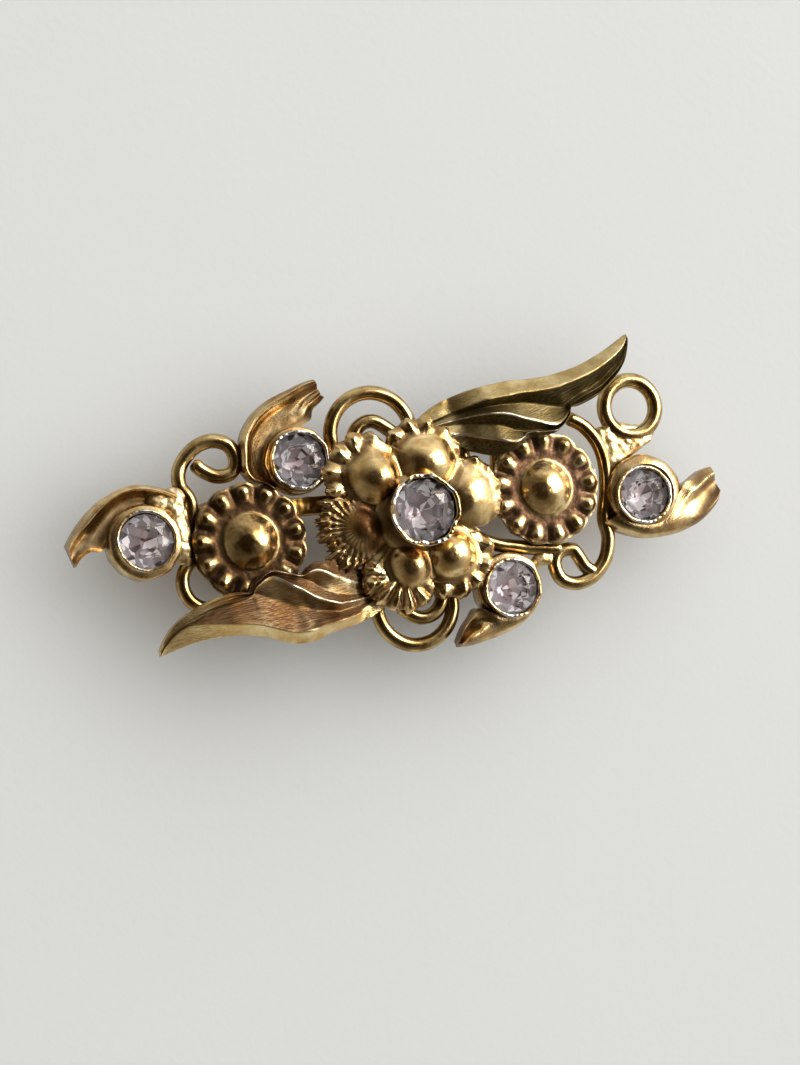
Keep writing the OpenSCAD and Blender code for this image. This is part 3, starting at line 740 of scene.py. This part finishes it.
def round_tree(count):
    """Repeats a sector round the axis, joins the copies and makes them a little uneven."""
    tree = bpy.data.node_groups.new("beads_in_a_ring", "GeometryNodeTree")
    add_socket(tree, "Sector", "NodeSocketGeometry")
    add_socket(tree, "Bead count", "NodeSocketInt", count)
    add_socket(tree, "Unevenness", "NodeSocketFloat", 0.16 * MM)
    add_socket(tree, "Casting", "NodeSocketFloat", 1.0)
    add_socket(tree, "Finish", "NodeSocketMaterial")
    add_socket(tree, "Flower", "NodeSocketGeometry", output=True)
    given = put(tree, "NodeGroupInput").outputs
    spots = put(tree, "GeometryNodeMeshLine", {"Count": given["Bead count"], "Offset": (0, 0, 0)})
    number = put(tree, "GeometryNodeInputIndex")
    part = put(tree, "ShaderNodeMath", {0: math.tau, 1: given["Bead count"]}, operation="DIVIDE")
    turn = put(tree, "ShaderNodeMath", {0: number, 1: part}, operation="MULTIPLY")
    spin = put(tree, "ShaderNodeCombineXYZ", {"Z": turn})
    copies = put(tree, "GeometryNodeInstanceOnPoints", {
        "Points": spots, "Instance": given["Sector"], "Rotation": spin})
    real = put(tree, "GeometryNodeRealizeInstances", {"Geometry": copies})
    joined = put(tree, "GeometryNodeMergeByDistance", {"Geometry": real, "Distance": 0.004 * MM})
    moved = drifted(tree, joined, 1.3, given["Casting"], given["Unevenness"])
    coat = put(tree, "GeometryNodeSetMaterial", {"Geometry": moved, "Material": given["Finish"]})
    put(tree, "NodeGroupOutput", {"Flower": coat})
    return tree


def socket_key(tree, name):
    """The identifier of a named input, under which a modifier keeps its value."""
    return next(s.identifier for s in tree.interface.items_tree
                if s.item_type == "SOCKET" and s.in_out == "INPUT" and s.name == name)


# Toned gilt: bronze brown with sharp highlights. Bright gilt: pale gold. Painted shade
# round the domes and between the beads on both.
toned_gilt = gilt("toned_gilt", "#c4aa78", "#937448", "#43301f", 0.2, waves=0.03, grain=0.006,
                  dirt_and_shade=1.0)
bright_gilt = gilt("bright_gilt", "#e9d09a", "#c4a066", "#50392a", 0.22, waves=0.03,
                   grain=0.006, dirt_and_shade=0.9)
bead_ring = round_tree(BEADS)
for name, place, start_turn, finish, casting in (
        ("flower_left", LEFT_FLOWER, 9, toned_gilt, 1.0),
        ("flower_right", RIGHT_FLOWER, 3, bright_gilt, 2.0)):
    points, faces = flower_sector()
    mesh = bpy.data.meshes.new(name)
    mesh.from_pydata([p * MM for p in points], [], faces)
    # Painted shade low down between the dome's foot and the beads' ends
    layer = mesh.attributes.new("shade_and_tarnish", "FLOAT", "POINT")
    layer.data.foreach_set("value", [
        (0.88 - 0.68 * ramp(p.xy.length, 4.5, 4.8)) * ramp(p.xy.length, 2.3, 2.6)
        * ramp(7.08 - p.z, 0, 0.12) for p in points])
    flower = add_object("small_" + name, mesh)
    ring = flower.modifiers.new("beads", "NODES")
    ring.node_group = bead_ring
    ring[socket_key(bead_ring, "Casting")] = casting
    ring[socket_key(bead_ring, "Finish")] = finish
    plain_mesh(flower)
    where = Matrix.Translation((Vector((place[0], place[1], 0)) + SHIFT) * MM)
    flower.data.transform(where @ Matrix.Rotation(math.radians(start_turn), 4, "Z"))
    face_outward(flower.data)
    flower.data.shade_smooth()
    flower.data.set_sharp_from_angle(angle=math.radians(50))
    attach(flower, "root")
    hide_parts(name)

# Leaves: two cast leaves with three folded lobes, brushed to a satin rather than polished.
# They have a pale outer band and red-brown faces between the folds, shade painted by how
# each face turns, pale folds of wear and painted glint, and fine scratches along them. The
# lower leaf is bent, crumpled and plainer towards its tip.
# Columns: the tip's place, direction from stalk to tip, crumpling of the lobes, how plain
# the half by the tip is
UPPER_LEAF = ((22.4, 13.4), 20, 0.04, 0)
LOWER_LEAF = ((-22.2, -9.6), 187, 0.16, 1)
# Columns: distance from the tip, outer edge, fold, first valley, second fold, second
# valley, third fold, inner edge
LEAF_ROWS = [
    (0, 0.2, 0.1, 0.03, -0.05, -0.12, -0.18, -0.25),
    (0.5, 0.1, -0.35, -0.6, -0.72, -0.83, -0.92, -1),
    (1.5, -0.05, -0.8, -1.45, -1.62, -1.77, -1.88, -2),
    (3, -0.25, -1.1, -2, -2.25, -2.45, -2.6, -2.75),
    (5, -0.35, -1.3, -2.5, -2.75, -3, -3.2, -3.4),
    (7, -0.25, -1.3, -2.6, -2.85, -3.1, -3.3, -3.5),
    (8.2, -0.05, -1.2, -2.8, -3, -3.1, -3.2, -3.3),
    (8.8, 0.05, -1.1, -3, -3.6, -3.75, -3.88, -4),
    (10.2, 0.45, -0.8, -2.1, -4.1, -4.35, -4.5, -4.65),
    (11.7, 0.95, -0.35, -1.2, -3.1, -3.8, -4.05, -4.3),
    (12.8, 1.3, -0.05, -0.75, -2.2, -3.4, -3.6, -3.75),
    (13.6, 1.5, 0.15, -0.45, -1.5, -2.9, -3.8, -4.2),
    (14.5, 1.7, 0.4, -0.2, -1, -2.1, -3.7, -4.45),
    (16, 1.95, 0.65, 0.2, -0.4, -1.2, -2.6, -4.1),
    (17.5, 2.05, 0.8, 0.45, 0, -0.5, -1.5, -3),
    (19, 2, 0.9, 0.6, 0.3, 0, -0.6, -1.6),
    (21, 1.5, 0.9, 0.75, 0.6, 0.4, 0.2, -0.2),
]
# Heights of those lines in shares of the relief, on a folded leaf and where it is plain
LEAF_LINES = (-0.35, 1, -0.25, 0.75, -0.2, 0.6, -0.25)
PLAIN_LINES = (-0.35, 1, 0.3, 0.35, 0.4, 0.45, 0.5)
# How far the lower leaf's outer edge, its fold and the other lines are bent sideways, in
# columns distance from the tip, mm
NO_BEND = [(0, 0)]
OUTER_BEND = spline([(0, 0), (3, 0), (5, 0.15), (7, 0.32), (8.2, 0.48), (9.2, 0.65),
                     (10.2, 0.95), (11.1, 1.03), (11.7, 0.97), (12.8, 0.63), (13.6, 0.3),
                     (14.5, -0.1), (16, -0.45), (17.5, -0.7), (19, -1.1), (21, -1.6)], 3)
FOLD_BEND = spline([(0, 0), (1.5, -0.5), (3, -0.65), (5.1, 0), (6.6, 0.35), (8.1, 0.66),
                    (9.6, 1.1), (11.1, 1.35), (12.6, 1.1), (14.2, 0.46), (15.7, 0.11),
                    (17.2, -0.2), (18.7, -1), (21, -1.6)], 3)
LOBE_BEND = spline([(0, 0), (14.5, 0), (16, -0.2), (17.5, -0.5), (19, -1), (21, -1.6)], 3)
# Mean level along the leaf, in columns distance from the tip, height
LEAF_LEVELS = [(0, 6.9), (3, 7.4), (6.4, 8.1), (15, 8.1), (17.6, 6.9), (21, 6.85)]
LEAF_RELIEF = 0.85
LEAF_FACE_SHADE = (0.8, 0.6, 0.8, 0.66, 0.8, 0.05)  # painted shade of the faces, from the inner edge on
LEAF_STEPS = [0.05, 0.16, 0.3, 0.45, 0.6, 0.74, 0.86, 0.95]  # of the way across a face
LEAF_BODY = 0.75  # from the mean level down to the underside


def leaf_shell(tip, turn, crumple, plain, bends, seed):
    """A leaf's solid. Each face between two lines sags a little and is darkened by painted shade
    by how it turns, and the folds are narrow pale bands of wear and painted glint."""
    rows = spline(LEAF_ROWS, 5)
    spin = Matrix.Rotation(math.radians(turn), 3, "Z")
    rings, marks = [], []
    for row in rows:
        u = row[0]
        level = table(LEAF_LEVELS, u)
        relief = (LEAF_RELIEF * min(1, 0.1 + u / 3)
                  * max(0.12, min(1, (18.4 - u) / 3)))
        lobed = 1 - plain * (1 - ramp(u, 3, 9))
        line = [(row[k] + table(bends[min(k, 3) - 1], u),
                 level + relief * mix(PLAIN_LINES[k - 1], LEAF_LINES[k - 1], lobed))
                for k in range(7, 0, -1)]
        ring = [(line[-1][0], level - LEAF_BODY), (line[0][0], level - LEAF_BODY)]
        ring_marks = [(0.5, 0), (0.5, 0)]
        for j in range(6):
            (y0, z0), (y1, z1) = line[j], line[j + 1]
            for t in [0] * (j == 0) + LEAF_STEPS + [1] * (j == 5):
                sag = 0.04 * relief * math.sin(math.pi * t)
                ring.append((mix(y0, y1, t), mix(z0, z1, t) - sag))
                # The folds lose their painted shade and turn pale: wear with a painted glint.
                on_fold = (t > 0.9 if j % 2 == 0 else t < 0.1) and j < 4
                face_shade = LEAF_FACE_SHADE[j] * (lobed if j < 3 else 1)
                wear_and_glint = 0.5 * ramp(u, 8, 10.5) * on_fold
                ring_marks.append((mix(face_shade, 0.1, wear_and_glint * 2), wear_and_glint))
        out = []
        for y, z in ring:
            p = Vector((-u, y, z))
            top = ramp(z, level - LEAF_BODY, level - 0.3)
            p.y += waver(p, 1.6, 0.05, seed) * ramp(u, 0, 2)
            p.z += top * (waver(p, 2.4, 0.03, seed + 1)
                          + waver((p.x / 4, p.y, 0), 0.3, 0.01, seed)
                          + waver(p, 0.9, crumple, seed + 2) * ramp(u, 9.5, 12))
            out.append(spin @ p + Vector((tip[0], tip[1], 0)))
        rings.append(out)
        marks += ring_marks
    return *loft(rings), marks


for name, (tip, turn, crumple, plain), bends, bright, warm, tarnish_and_shade_colour, seed in (
        ("leaf_upper", UPPER_LEAF, [NO_BEND] * 3, "#d6c08e", "#ac925c", "#2e260f", 1),
        ("leaf_lower", LOWER_LEAF, [OUTER_BEND, FOLD_BEND, LOBE_BEND], "#f8e2aa", "#d8b270",
         "#4c2b1c", 2)):
    # Satin gilt: highlights drawn out along the leaf, pale folds of wear and painted glint,
    # red-brown painted shade on the faces, and the shine broken up where tarnish and painted
    # shade catch in the scratches.
    satin = gilt("satin_gilt_" + name.split("_")[1], bright, warm, tarnish_and_shade_colour, 0.3, waves=0.02,
                 grain=0.006, scratch=0.05, scratch_turn=math.radians(turn), dirt_and_shade=0.7,
                 patches=2.2, brushed=True)
    shell = leaf_shell(tip, turn, crumple, plain, bends, seed)
    leaf = solid_piece("cast_" + name, [shell], satin, sharp=62)
    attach(leaf, "root")
    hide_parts(name)

# Large flower: one stamped and burnished sheet of six petals, each a round dome that runs
# softly into a skirt with a fluted rim, on a hub that flares up into the cup of the middle
# stone. The rims are worn, and the one at the left is frayed.
MIDDLE = (0.6, -0.2)
MIDDLE_TOP = 11.3
MIDDLE_CUP_IN = 2.66
MIDDLE_CUP_OUT = 3.02
PETAL_LOW = 7.35
SHEET_IN = 2.6
NOTCH_R = 5.5  # of the notches between the petals
FLUTE_CENTRE = 5.2  # distance of the point on each petal that its flutes spread from
FLUTED_TO = 118  # degrees either side of the petal's middle
DOME_LOW = 7.88
# Columns: direction and distance of the dome, its radius and height, direction and reach of
# the petal, half its width in degrees, flutes in a full turn, where on the way to the rim
# they start, their height, fraying, toning
PETALS = [(133, 4.5, 2.3, 1.75, 137, 8.8, 33, 11, 0.68, 0.4, 0.02, 0.1),
          (68, 4.4, 2.5, 1.6, 74, 8.1, 33, 10, 0.7, 0.4, 0.015, 0),
          (11, 4.9, 2.5, 1.25, 14, 8.15, 31, 13, 0.76, 0.3, 0.02, 0),
          (-54, 4.7, 2.1, 1.55, -51, 8.6, 33, 11, 0.7, 0.34, 0.02, 0),
          (-101, 4.5, 1.8, 1.45, -109, 8.4, 33, 13, 0.54, 0.38, 0.03, 0.15),
          (-168, 4.8, 1.8, 1.3, -171, 8.5, 31, 26, 0.38, 0.17, 0.12, 0.75)]
# Height of the skirts, in columns share of the way from the hub to the rim, height
SKIRT = spline([(0, 8), (0.4, 7.95), (0.6, 7.93), (0.75, 7.9), (0.88, 7.82), (0.96, 7.68),
                (1, 7.52)], 4)


def turned_off(turn, other):
    """Degrees from one direction to another, from -180 to 180."""
    return (turn - other + 180) % 360 - 180


def fan_angle(p, middle_turn):
    """Degrees from a petal's middle line to a point, as the centre of its flutes sees them."""
    arm = p - polar(middle_turn, FLUTE_CENTRE)
    return turned_off(math.degrees(math.atan2(arm.y, arm.x)), middle_turn)


def flower_sheet():
    """The stamped sheet, of closed sections from the hub to the rim, all the way round."""
    around, steps = 900, 56
    columns, marks = [], []
    domes = [(polar(row[0], row[1]), row[2], row[3]) for row in PETALS]
    for k in range(around):
        turn = 360 * k / around
        across = [abs(turned_off(turn, row[4])) / row[6] for row in PETALS]
        near = min(range(len(PETALS)), key=lambda i: across[i])
        (_, _, _, _, middle_turn, reach, _, flutes, start, lift, fray, tone) = PETALS[near]
        x = min(1, across[near])
        rim = NOTCH_R + (reach - NOTCH_R) * (1 - x ** 2.4) ** 0.55
        spot = polar(turn, 1)
        rim_off = fan_angle(polar(turn, rim), middle_turn)
        tooth = waver(spot * 14, 1, 1, near + 10) + 0.6 * waver(spot * 40, 1, 1, near + 13)
        outward = ramp(FLUTED_TO - abs(rim_off), 0, 50)
        rib = 0.5 + 0.5 * math.cos(math.radians(rim_off) * flutes)
        rim += outward * (lift * 0.8 * (rib - 0.6) + fray * reach * tooth)
        column = []
        for j in range(steps):
            share = j / (steps - 1)
            r = mix(SHEET_IN, rim, share)
            p = polar(turn, r)
            off = fan_angle(p, middle_turn) + 5 * waver(spot * 5, 1, 1, near)
            rib = (0.5 + 0.5 * math.cos(math.radians(off) * flutes)) ** 0.8
            grown = ramp(share, start, start + 0.22) * ramp(FLUTED_TO - abs(off), 0, 50)
            number = round(math.radians(off) * flutes / math.tau)
            size = 1 + 0.6 * waver((number * 3.7, near, 0.5), 1, 1)
            z = table(SKIRT, share) - 0.3 * ramp(x, 0.7, 1) * ramp(r, 3.4, 4.8)
            z += lift * rib * size * grown * (1 - 0.7 * ramp(share, 0.92, 1))
            z += 1.2 * fray * grown * waver(p, 0.35, 1, near + 20)
            crease = 0
            for centre, radius, height in domes:
                away = (p - centre).length / radius * (1 + waver(p, 1.7, 0.16, 15))
                if away < 1.3:
                    dome = DOME_LOW + height * table(DOME_SHARES, away)
                    crease = max(crease, ramp(0.4 - abs(z - dome), 0, 0.4))
                    z = soft_top(z, dome, 0.5)
            z += waver(p, 1.3, 0.06, 11)
            column.append(p + Vector((MIDDLE[0], MIDDLE[1], z)))
            # The petal's own toning, with painted shade in the valleys between the flutes, in the
            # crease round each dome and low down by the notches; pale wear on the flutes' crests.
            low = 1 - ramp(z, 8.3, 8.8)
            marks.append((max(tone * (1 - 0.75 * rib * grown), 0.6 * (1 - rib) * grown,
                              0.55 * crease, 0.5 * low * ramp(x, 0.75, 1)),
                          0.3 * rib * grown))
        # Painted shade on the sheet's edge and underside.
        for r, z in ((rim, PETAL_LOW + 0.07), (rim - 0.12, PETAL_LOW), (SHEET_IN, PETAL_LOW)):
            column.append(polar(turn, r) + Vector((MIDDLE[0], MIDDLE[1], z)))
            marks.append((0.6, 0))
        columns.append(column)
    faces = bands(around, len(columns[0]), closed=True)
    return [p for column in columns for p in column], faces, marks


# Painted shade inside the cup below its rim; pale wear in patches on the rim.
def middle_cup_marks(p):
    return (0.5 * ramp(MIDDLE_TOP - 0.7 - p.z, 0, 0.5),
            ramp(p.z, MIDDLE_TOP - 0.5, MIDDLE_TOP - 0.2) * max(0, 0.45 + waver(p, 0.9, 1.6, 8)))


hub_profile = [(0, POST_LOW), (POST_R, POST_LOW + 0.02), (POST_R, PETAL_LOW), (3.75, PETAL_LOW),
               (3.6, 8), (3.2, 8.35), (2.8, 8.6), (2.6, 8.7), (0, 8.7)]
hub = turned_solid(hub_profile, MIDDLE)
middle_cup = cup_shell(MIDDLE, MIDDLE_TOP, MIDDLE_CUP_IN, MIDDLE_CUP_OUT, 185, 0.14, 0.26, 0.6,
                       6, floor=8.9, low=8.5, foot=2.76)
# Burnished gilt: domes like soft mirrors in pale gold, with red-brown painted shade in the
# creases round them.
flower_gilt = gilt("burnished_gilt", "#ead09a", "#c09a5c", "#552a14", 0.2, waves=0.03,
                   grain=0.007, dirt_and_shade=1.0)
# The hub is darkened all over with painted shade, under the petals.
shells = [flower_sheet(), (*hub, lambda p: (0.5, 0)), (*middle_cup[:2], middle_cup_marks)]
flower = solid_piece("large_flower", shells, flower_gilt, sharp=55)
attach(flower, "root")
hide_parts("flower_centre")

# Rhinestones: five round-cut glass stones, each with a table, eight star facets, eight
# kites, sixteen upper facets and a pointed back that is foiled with silver, so that the
# light comes back. Flat facets that meet in sharp edges.
GIRDLE_SET = 0.6  # from the cup's top down to the girdle, mm
STONE_D = 4.55
MIDDLE_D = 5.24


def cut_stone(name, place, diameter, cup_top, turn, painted_foil_brightness):
    """A round-cut stone: the crown is glass, and the facets under the girdle are foiled, the foil
    of each stone darkened by a painted shade of its own, 1 for none. Directions are in degrees,
    reaches in shares of the radius and heights in shares of the diameter."""
    r = diameter / 2
    z = cup_top - GIRDLE_SET
    base = Vector((place[0], place[1], 0)) + SHIFT
    shape = bmesh.new()

    def vert(direction, reach, height):
        return shape.verts.new((base + polar(direction + turn, reach * r,
                                             z + height * diameter)) * MM)

    def ring(count, offset, reach, height):
        return [vert(offset + 360 * k / count, reach, height) for k in range(count)]

    table_ring = ring(8, 0, 0.56, 0.172)
    kite_ring = ring(8, 22.5, 0.8, 0.108)
    girdle_top = ring(16, 0, 1, 0.02)
    girdle_low = ring(16, 0, 1, -0.015)
    lower_ring = ring(8, 0, 0.5, -0.2)
    point = vert(0, 0, -0.33)
    shape.faces.new(table_ring)
    for k in range(8):
        n = (k + 1) % 8
        a, b, c = girdle_top[2 * k], girdle_top[2 * k + 1], girdle_top[(2 * k + 2) % 16]
        for corners in ((table_ring[k], kite_ring[k], table_ring[n]),
                        (table_ring[k], kite_ring[k - 1], a, kite_ring[k]),
                        (kite_ring[k], a, b), (kite_ring[k], b, c)):
            shape.faces.new(corners)
        d, e, f = girdle_low[2 * k], girdle_low[2 * k + 1], girdle_low[(2 * k + 2) % 16]
        for corners in ((lower_ring[k], d, e), (lower_ring[k], e, lower_ring[n]),
                        (lower_ring[n], e, f), (point, lower_ring[k], lower_ring[n])):
            shape.faces.new(corners).material_index = 1
    for k in range(16):
        n = (k + 1) % 16
        shape.faces.new((girdle_top[k], girdle_top[n], girdle_low[n], girdle_low[k]))
    bmesh.ops.recalc_face_normals(shape, faces=shape.faces)
    mesh = bpy.data.meshes.new(name)
    shape.to_mesh(mesh)
    shape.free()
    # Painted reflections: a share for each facet that picks a white, grey or dark glint for its
    # foil.
    painted_facet_glint = mesh.attributes.new("painted_facet_glint", "FLOAT", "FACE")
    painted_facet_glint.data.foreach_set("value", [(i * 0.618 + turn * 0.13) % 1
                                    for i in range(len(mesh.polygons))])
    reach = mesh.attributes.new("reach", "FLOAT", "POINT")
    reach.data.foreach_set("value", [(v.co / MM - base).xy.length / r for v in mesh.vertices])
    # Painted shade: how bright this stone's foil is.
    brightness = mesh.attributes.new("painted_foil_brightness", "FLOAT", "POINT")
    brightness.data.foreach_set("value", [painted_foil_brightness] * len(mesh.vertices))
    mesh.materials.append(cut_glass)
    mesh.materials.append(silver_foil)
    stone = add_object("cut_" + name, mesh)
    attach(stone, "root")
    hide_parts(name)


def set_stops(node, rows):
    """Sets a colour ramp's stops, in columns place, colour."""
    stops = node.color_ramp.elements
    while len(stops) < len(rows):
        stops.new(0.5)
    for stop, (at, code) in zip(stops, rows):
        stop.position = at
        stop.color = linear(code)


def stone_glass():
    """Clear soda glass, faintly violet: sharp window glints, dulled by a haze in patches."""
    material, tree = blank_material("cut_glass")
    where = put(tree, "ShaderNodeTexCoord").outputs["Object"]
    haze = put(tree, "ShaderNodeTexNoise", {"Vector": where, "Scale": per_mm(0.8), "Detail": 4.0})
    rough = put(tree, "ShaderNodeMapRange", {
        "Value": haze, "From Min": 0.55, "From Max": 0.75, "To Min": 0.0, "To Max": 0.1})
    skin = put(tree, "ShaderNodeBsdfPrincipled", {
        "Base Color": linear("#faf8fc"), "Roughness": rough, "IOR": 1.52,
        "Transmission Weight": 1.0})
    put(tree, "ShaderNodeOutputMaterial", {"Surface": skin})
    return material


def stone_foil():
    """Silver foil seen through the glass, with painted reflections: splinters of white, grey and
    dark that differ from facet to facet, and a painted pink reflection in the middle. Its
    crackle is drawn coarser than it is."""
    material, tree = blank_material("silver_foil")
    where = put(tree, "ShaderNodeTexCoord").outputs["Object"]
    facet = put(tree, "ShaderNodeAttribute", attribute_name="painted_facet_glint")
    splinter = put(tree, "ShaderNodeTexVoronoi", {"Vector": where, "Scale": per_mm(0.75)})
    chance = put(tree, "ShaderNodeSeparateColor", {"Color": splinter.outputs["Color"]})
    both = put(tree, "ShaderNodeMath", {
        0: chance.outputs[0], 1: 0.55, 2: facet.outputs["Fac"]}, operation="MULTIPLY_ADD")
    blend = put(tree, "ShaderNodeMath", {0: both, 1: 1.0}, operation="FRACT")
    painted_facet_glint = put(tree, "ShaderNodeValToRGB", {"Fac": blend})
    painted_facet_glint.color_ramp.interpolation = "CONSTANT"
    set_stops(painted_facet_glint, [(0.0, "#5d5758"), (0.12, "#bdb8ba"), (0.32, "#e8e4e6"), (0.5, "#cbc6c8"),
                     (0.68, "#ffffff"), (0.88, "#8f898a")])
    reach = put(tree, "ShaderNodeAttribute", attribute_name="reach")
    # A painted pink reflection towards the middle.
    inner = put(tree, "ShaderNodeMapRange", {
        "Value": reach.outputs["Fac"], "From Min": 0.65, "From Max": 0.1, "To Max": 0.7})
    pink_reflection = put(tree, "ShaderNodeMath", {0: inner, 1: chance.outputs[1]}, operation="MULTIPLY")
    colour = put(tree, "ShaderNodeMix", {
        "Factor": pink_reflection, "A": painted_facet_glint, "B": linear("#c8989a")}, data_type="RGBA")
    painted_foil_brightness = put(tree, "ShaderNodeAttribute", attribute_name="painted_foil_brightness")
    colour = put(tree, "ShaderNodeMix", {
        "Factor": painted_foil_brightness.outputs["Fac"], "A": (0, 0, 0, 1), "B": colour}, data_type="RGBA")
    flash = put(tree, "ShaderNodeMapRange", {
        "Value": blend, "From Min": 0.64, "From Max": 0.67, "To Min": 0.7, "To Max": 0.25})
    crackle = put(tree, "ShaderNodeTexNoise", {
        "Vector": where, "Scale": per_mm(0.3), "Detail": 4.0})
    rough = put(tree, "ShaderNodeMapRange", {"Value": crackle, "To Min": 0.02, "To Max": 0.2})
    skin = put(tree, "ShaderNodeBsdfPrincipled", {
        "Base Color": colour, "Metallic": flash, "Roughness": rough})
    put(tree, "ShaderNodeOutputMaterial", {"Surface": skin})
    return material


cut_glass, silver_foil = stone_glass(), stone_foil()
# The last number is how bright each stone's foil is, a painted shade set stone by stone.
cut_stone("stone_left", LEFT_STONE, STONE_D, CUP_TOP, 16, 1.0)
cut_stone("stone_upper_left", UPPER_LEFT_STONE, STONE_D, CUP_TOP, 20, 0.76)
cut_stone("stone_lower_right", LOWER_RIGHT_STONE, STONE_D, CUP_TOP, 3, 1.0)
cut_stone("stone_right", RIGHT_STONE, STONE_D, CUP_TOP, 14, 0.82)
cut_stone("stone_centre", MIDDLE, MIDDLE_D, MIDDLE_TOP, 12, 0.73)

# Photo table: a plain pale floor, a big soft window to the upper right, a dim room
# that is pale low down and dark overhead, and the camera above and to the left of the
# brooch, as in the photograph.
bpy.ops.mesh.primitive_plane_add(size=4)
floor = bpy.context.object
floor.name = "floor"
# Pale paper: an even matt white, a little cool, that shows the brooch's soft shadow. Its
# fibres are drawn coarser than they are.
paper = bpy.data.materials.new("pale_paper")
paper.use_nodes = True
tree = paper.node_tree
where = put(tree, "ShaderNodeTexCoord").outputs["Object"]
fibre = put(tree, "ShaderNodeTexNoise", {"Vector": where, "Scale": per_mm(0.7), "Detail": 4.0})
bump = put(tree, "ShaderNodeBump", {"Height": fibre, "Distance": 0.02 * MM})
skin = tree.nodes["Principled BSDF"]
skin.inputs["Base Color"].default_value = linear("#e6e8e8")
skin.inputs["Roughness"].default_value = 0.75
tree.links.new(bump.outputs[0], skin.inputs["Normal"])
floor.data.materials.append(paper)

EYE = Vector((-70.217, -11.325, 214.526))
AIM = Vector((-0.657, -2.480, 6))
BACK = (EYE - AIM).normalized()
ROLL = math.radians(7)
SENSOR = 36
EYE_AWAY = 220  # mm
VIEW_HEIGHT = 90.525  # that the picture takes in at this distance, mm
up = Vector((math.sin(ROLL), math.cos(ROLL), 0))
up = (up - BACK * up.dot(BACK)).normalized()
right = up.cross(BACK)
camera_data = bpy.data.cameras.new("camera")
camera_data.sensor_width = SENSOR
camera_data.lens = SENSOR * EYE_AWAY / VIEW_HEIGHT
camera_data.clip_start = 0.005
camera = add_object("camera", camera_data)
camera.matrix_world = Matrix((
    (right.x, up.x, BACK.x, EYE.x * MM), (right.y, up.y, BACK.y, EYE.y * MM),
    (right.z, up.z, BACK.z, EYE.z * MM), (0, 0, 0, 1)))
bpy.context.scene.camera = camera


def soft_light(name, place, size, watts, colour, hidden):
    """A square soft box aimed at the brooch, its place and size in mm, hidden from one kind
    of ray: the window makes only the highlights, the daylight only the plain light."""
    data = bpy.data.lights.new(name, "AREA")
    data.shape = "SQUARE"
    data.size = size * MM
    data.energy = watts
    data.color = linear(colour)[:3]
    light = add_object(name, data)
    light.location = Vector(place) * MM
    light.rotation_euler = (-Vector(place)).to_track_quat("-Z", "Y").to_euler()
    setattr(light, hidden, False)


soft_light("window", (436, 150, 388), 450, 6.2, "#fffaf4", "visible_diffuse")
soft_light("daylight", (150, 110, 420), 1500, 5.4, "#fffffd", "visible_glossy")

world = bpy.data.worlds.new("room")
bpy.context.scene.world = world
world.use_nodes = True
tree = world.node_tree
tree.nodes.clear()
look = put(tree, "ShaderNodeTexCoord").outputs["Generated"]


def room_tone(direction, rows):
    """A colour of the room that changes along this direction, in columns how far the look
    points that way, colour."""
    along = put(tree, "ShaderNodeVectorMath", {0: look, 1: direction}, operation="DOT_PRODUCT")
    shade = put(tree, "ShaderNodeValToRGB", {"Fac": along})
    set_stops(shade, rows)
    return shade


walls = room_tone((0.8, 0.56, 0.2), [(0.0, "#7a7469"), (0.35, "#b0aba2"), (0.8, "#ffffff")])
pale_edge = room_tone((0, 0, 1), [(0.0, "#c0c0c0"), (0.3, "#000000")])
walls = put(tree, "ShaderNodeMix", {
    "Factor": pale_edge, "A": walls, "B": linear("#c9c7c2")}, data_type="RGBA")
overhead = room_tone((-0.22, -0.12, 0.97), [(0.25, "#000000"), (0.66, "#b0b0b0"),
                                            (0.83, "#ffffff")])
room = put(tree, "ShaderNodeMix", {
    "Factor": overhead, "A": walls, "B": linear("#2a2012")}, data_type="RGBA")
glow = put(tree, "ShaderNodeBackground", {"Color": room, "Strength": 1.35})
put(tree, "ShaderNodeOutputWorld", {"Surface": glow})

bpy.context.scene.view_settings.view_transform = "Standard"
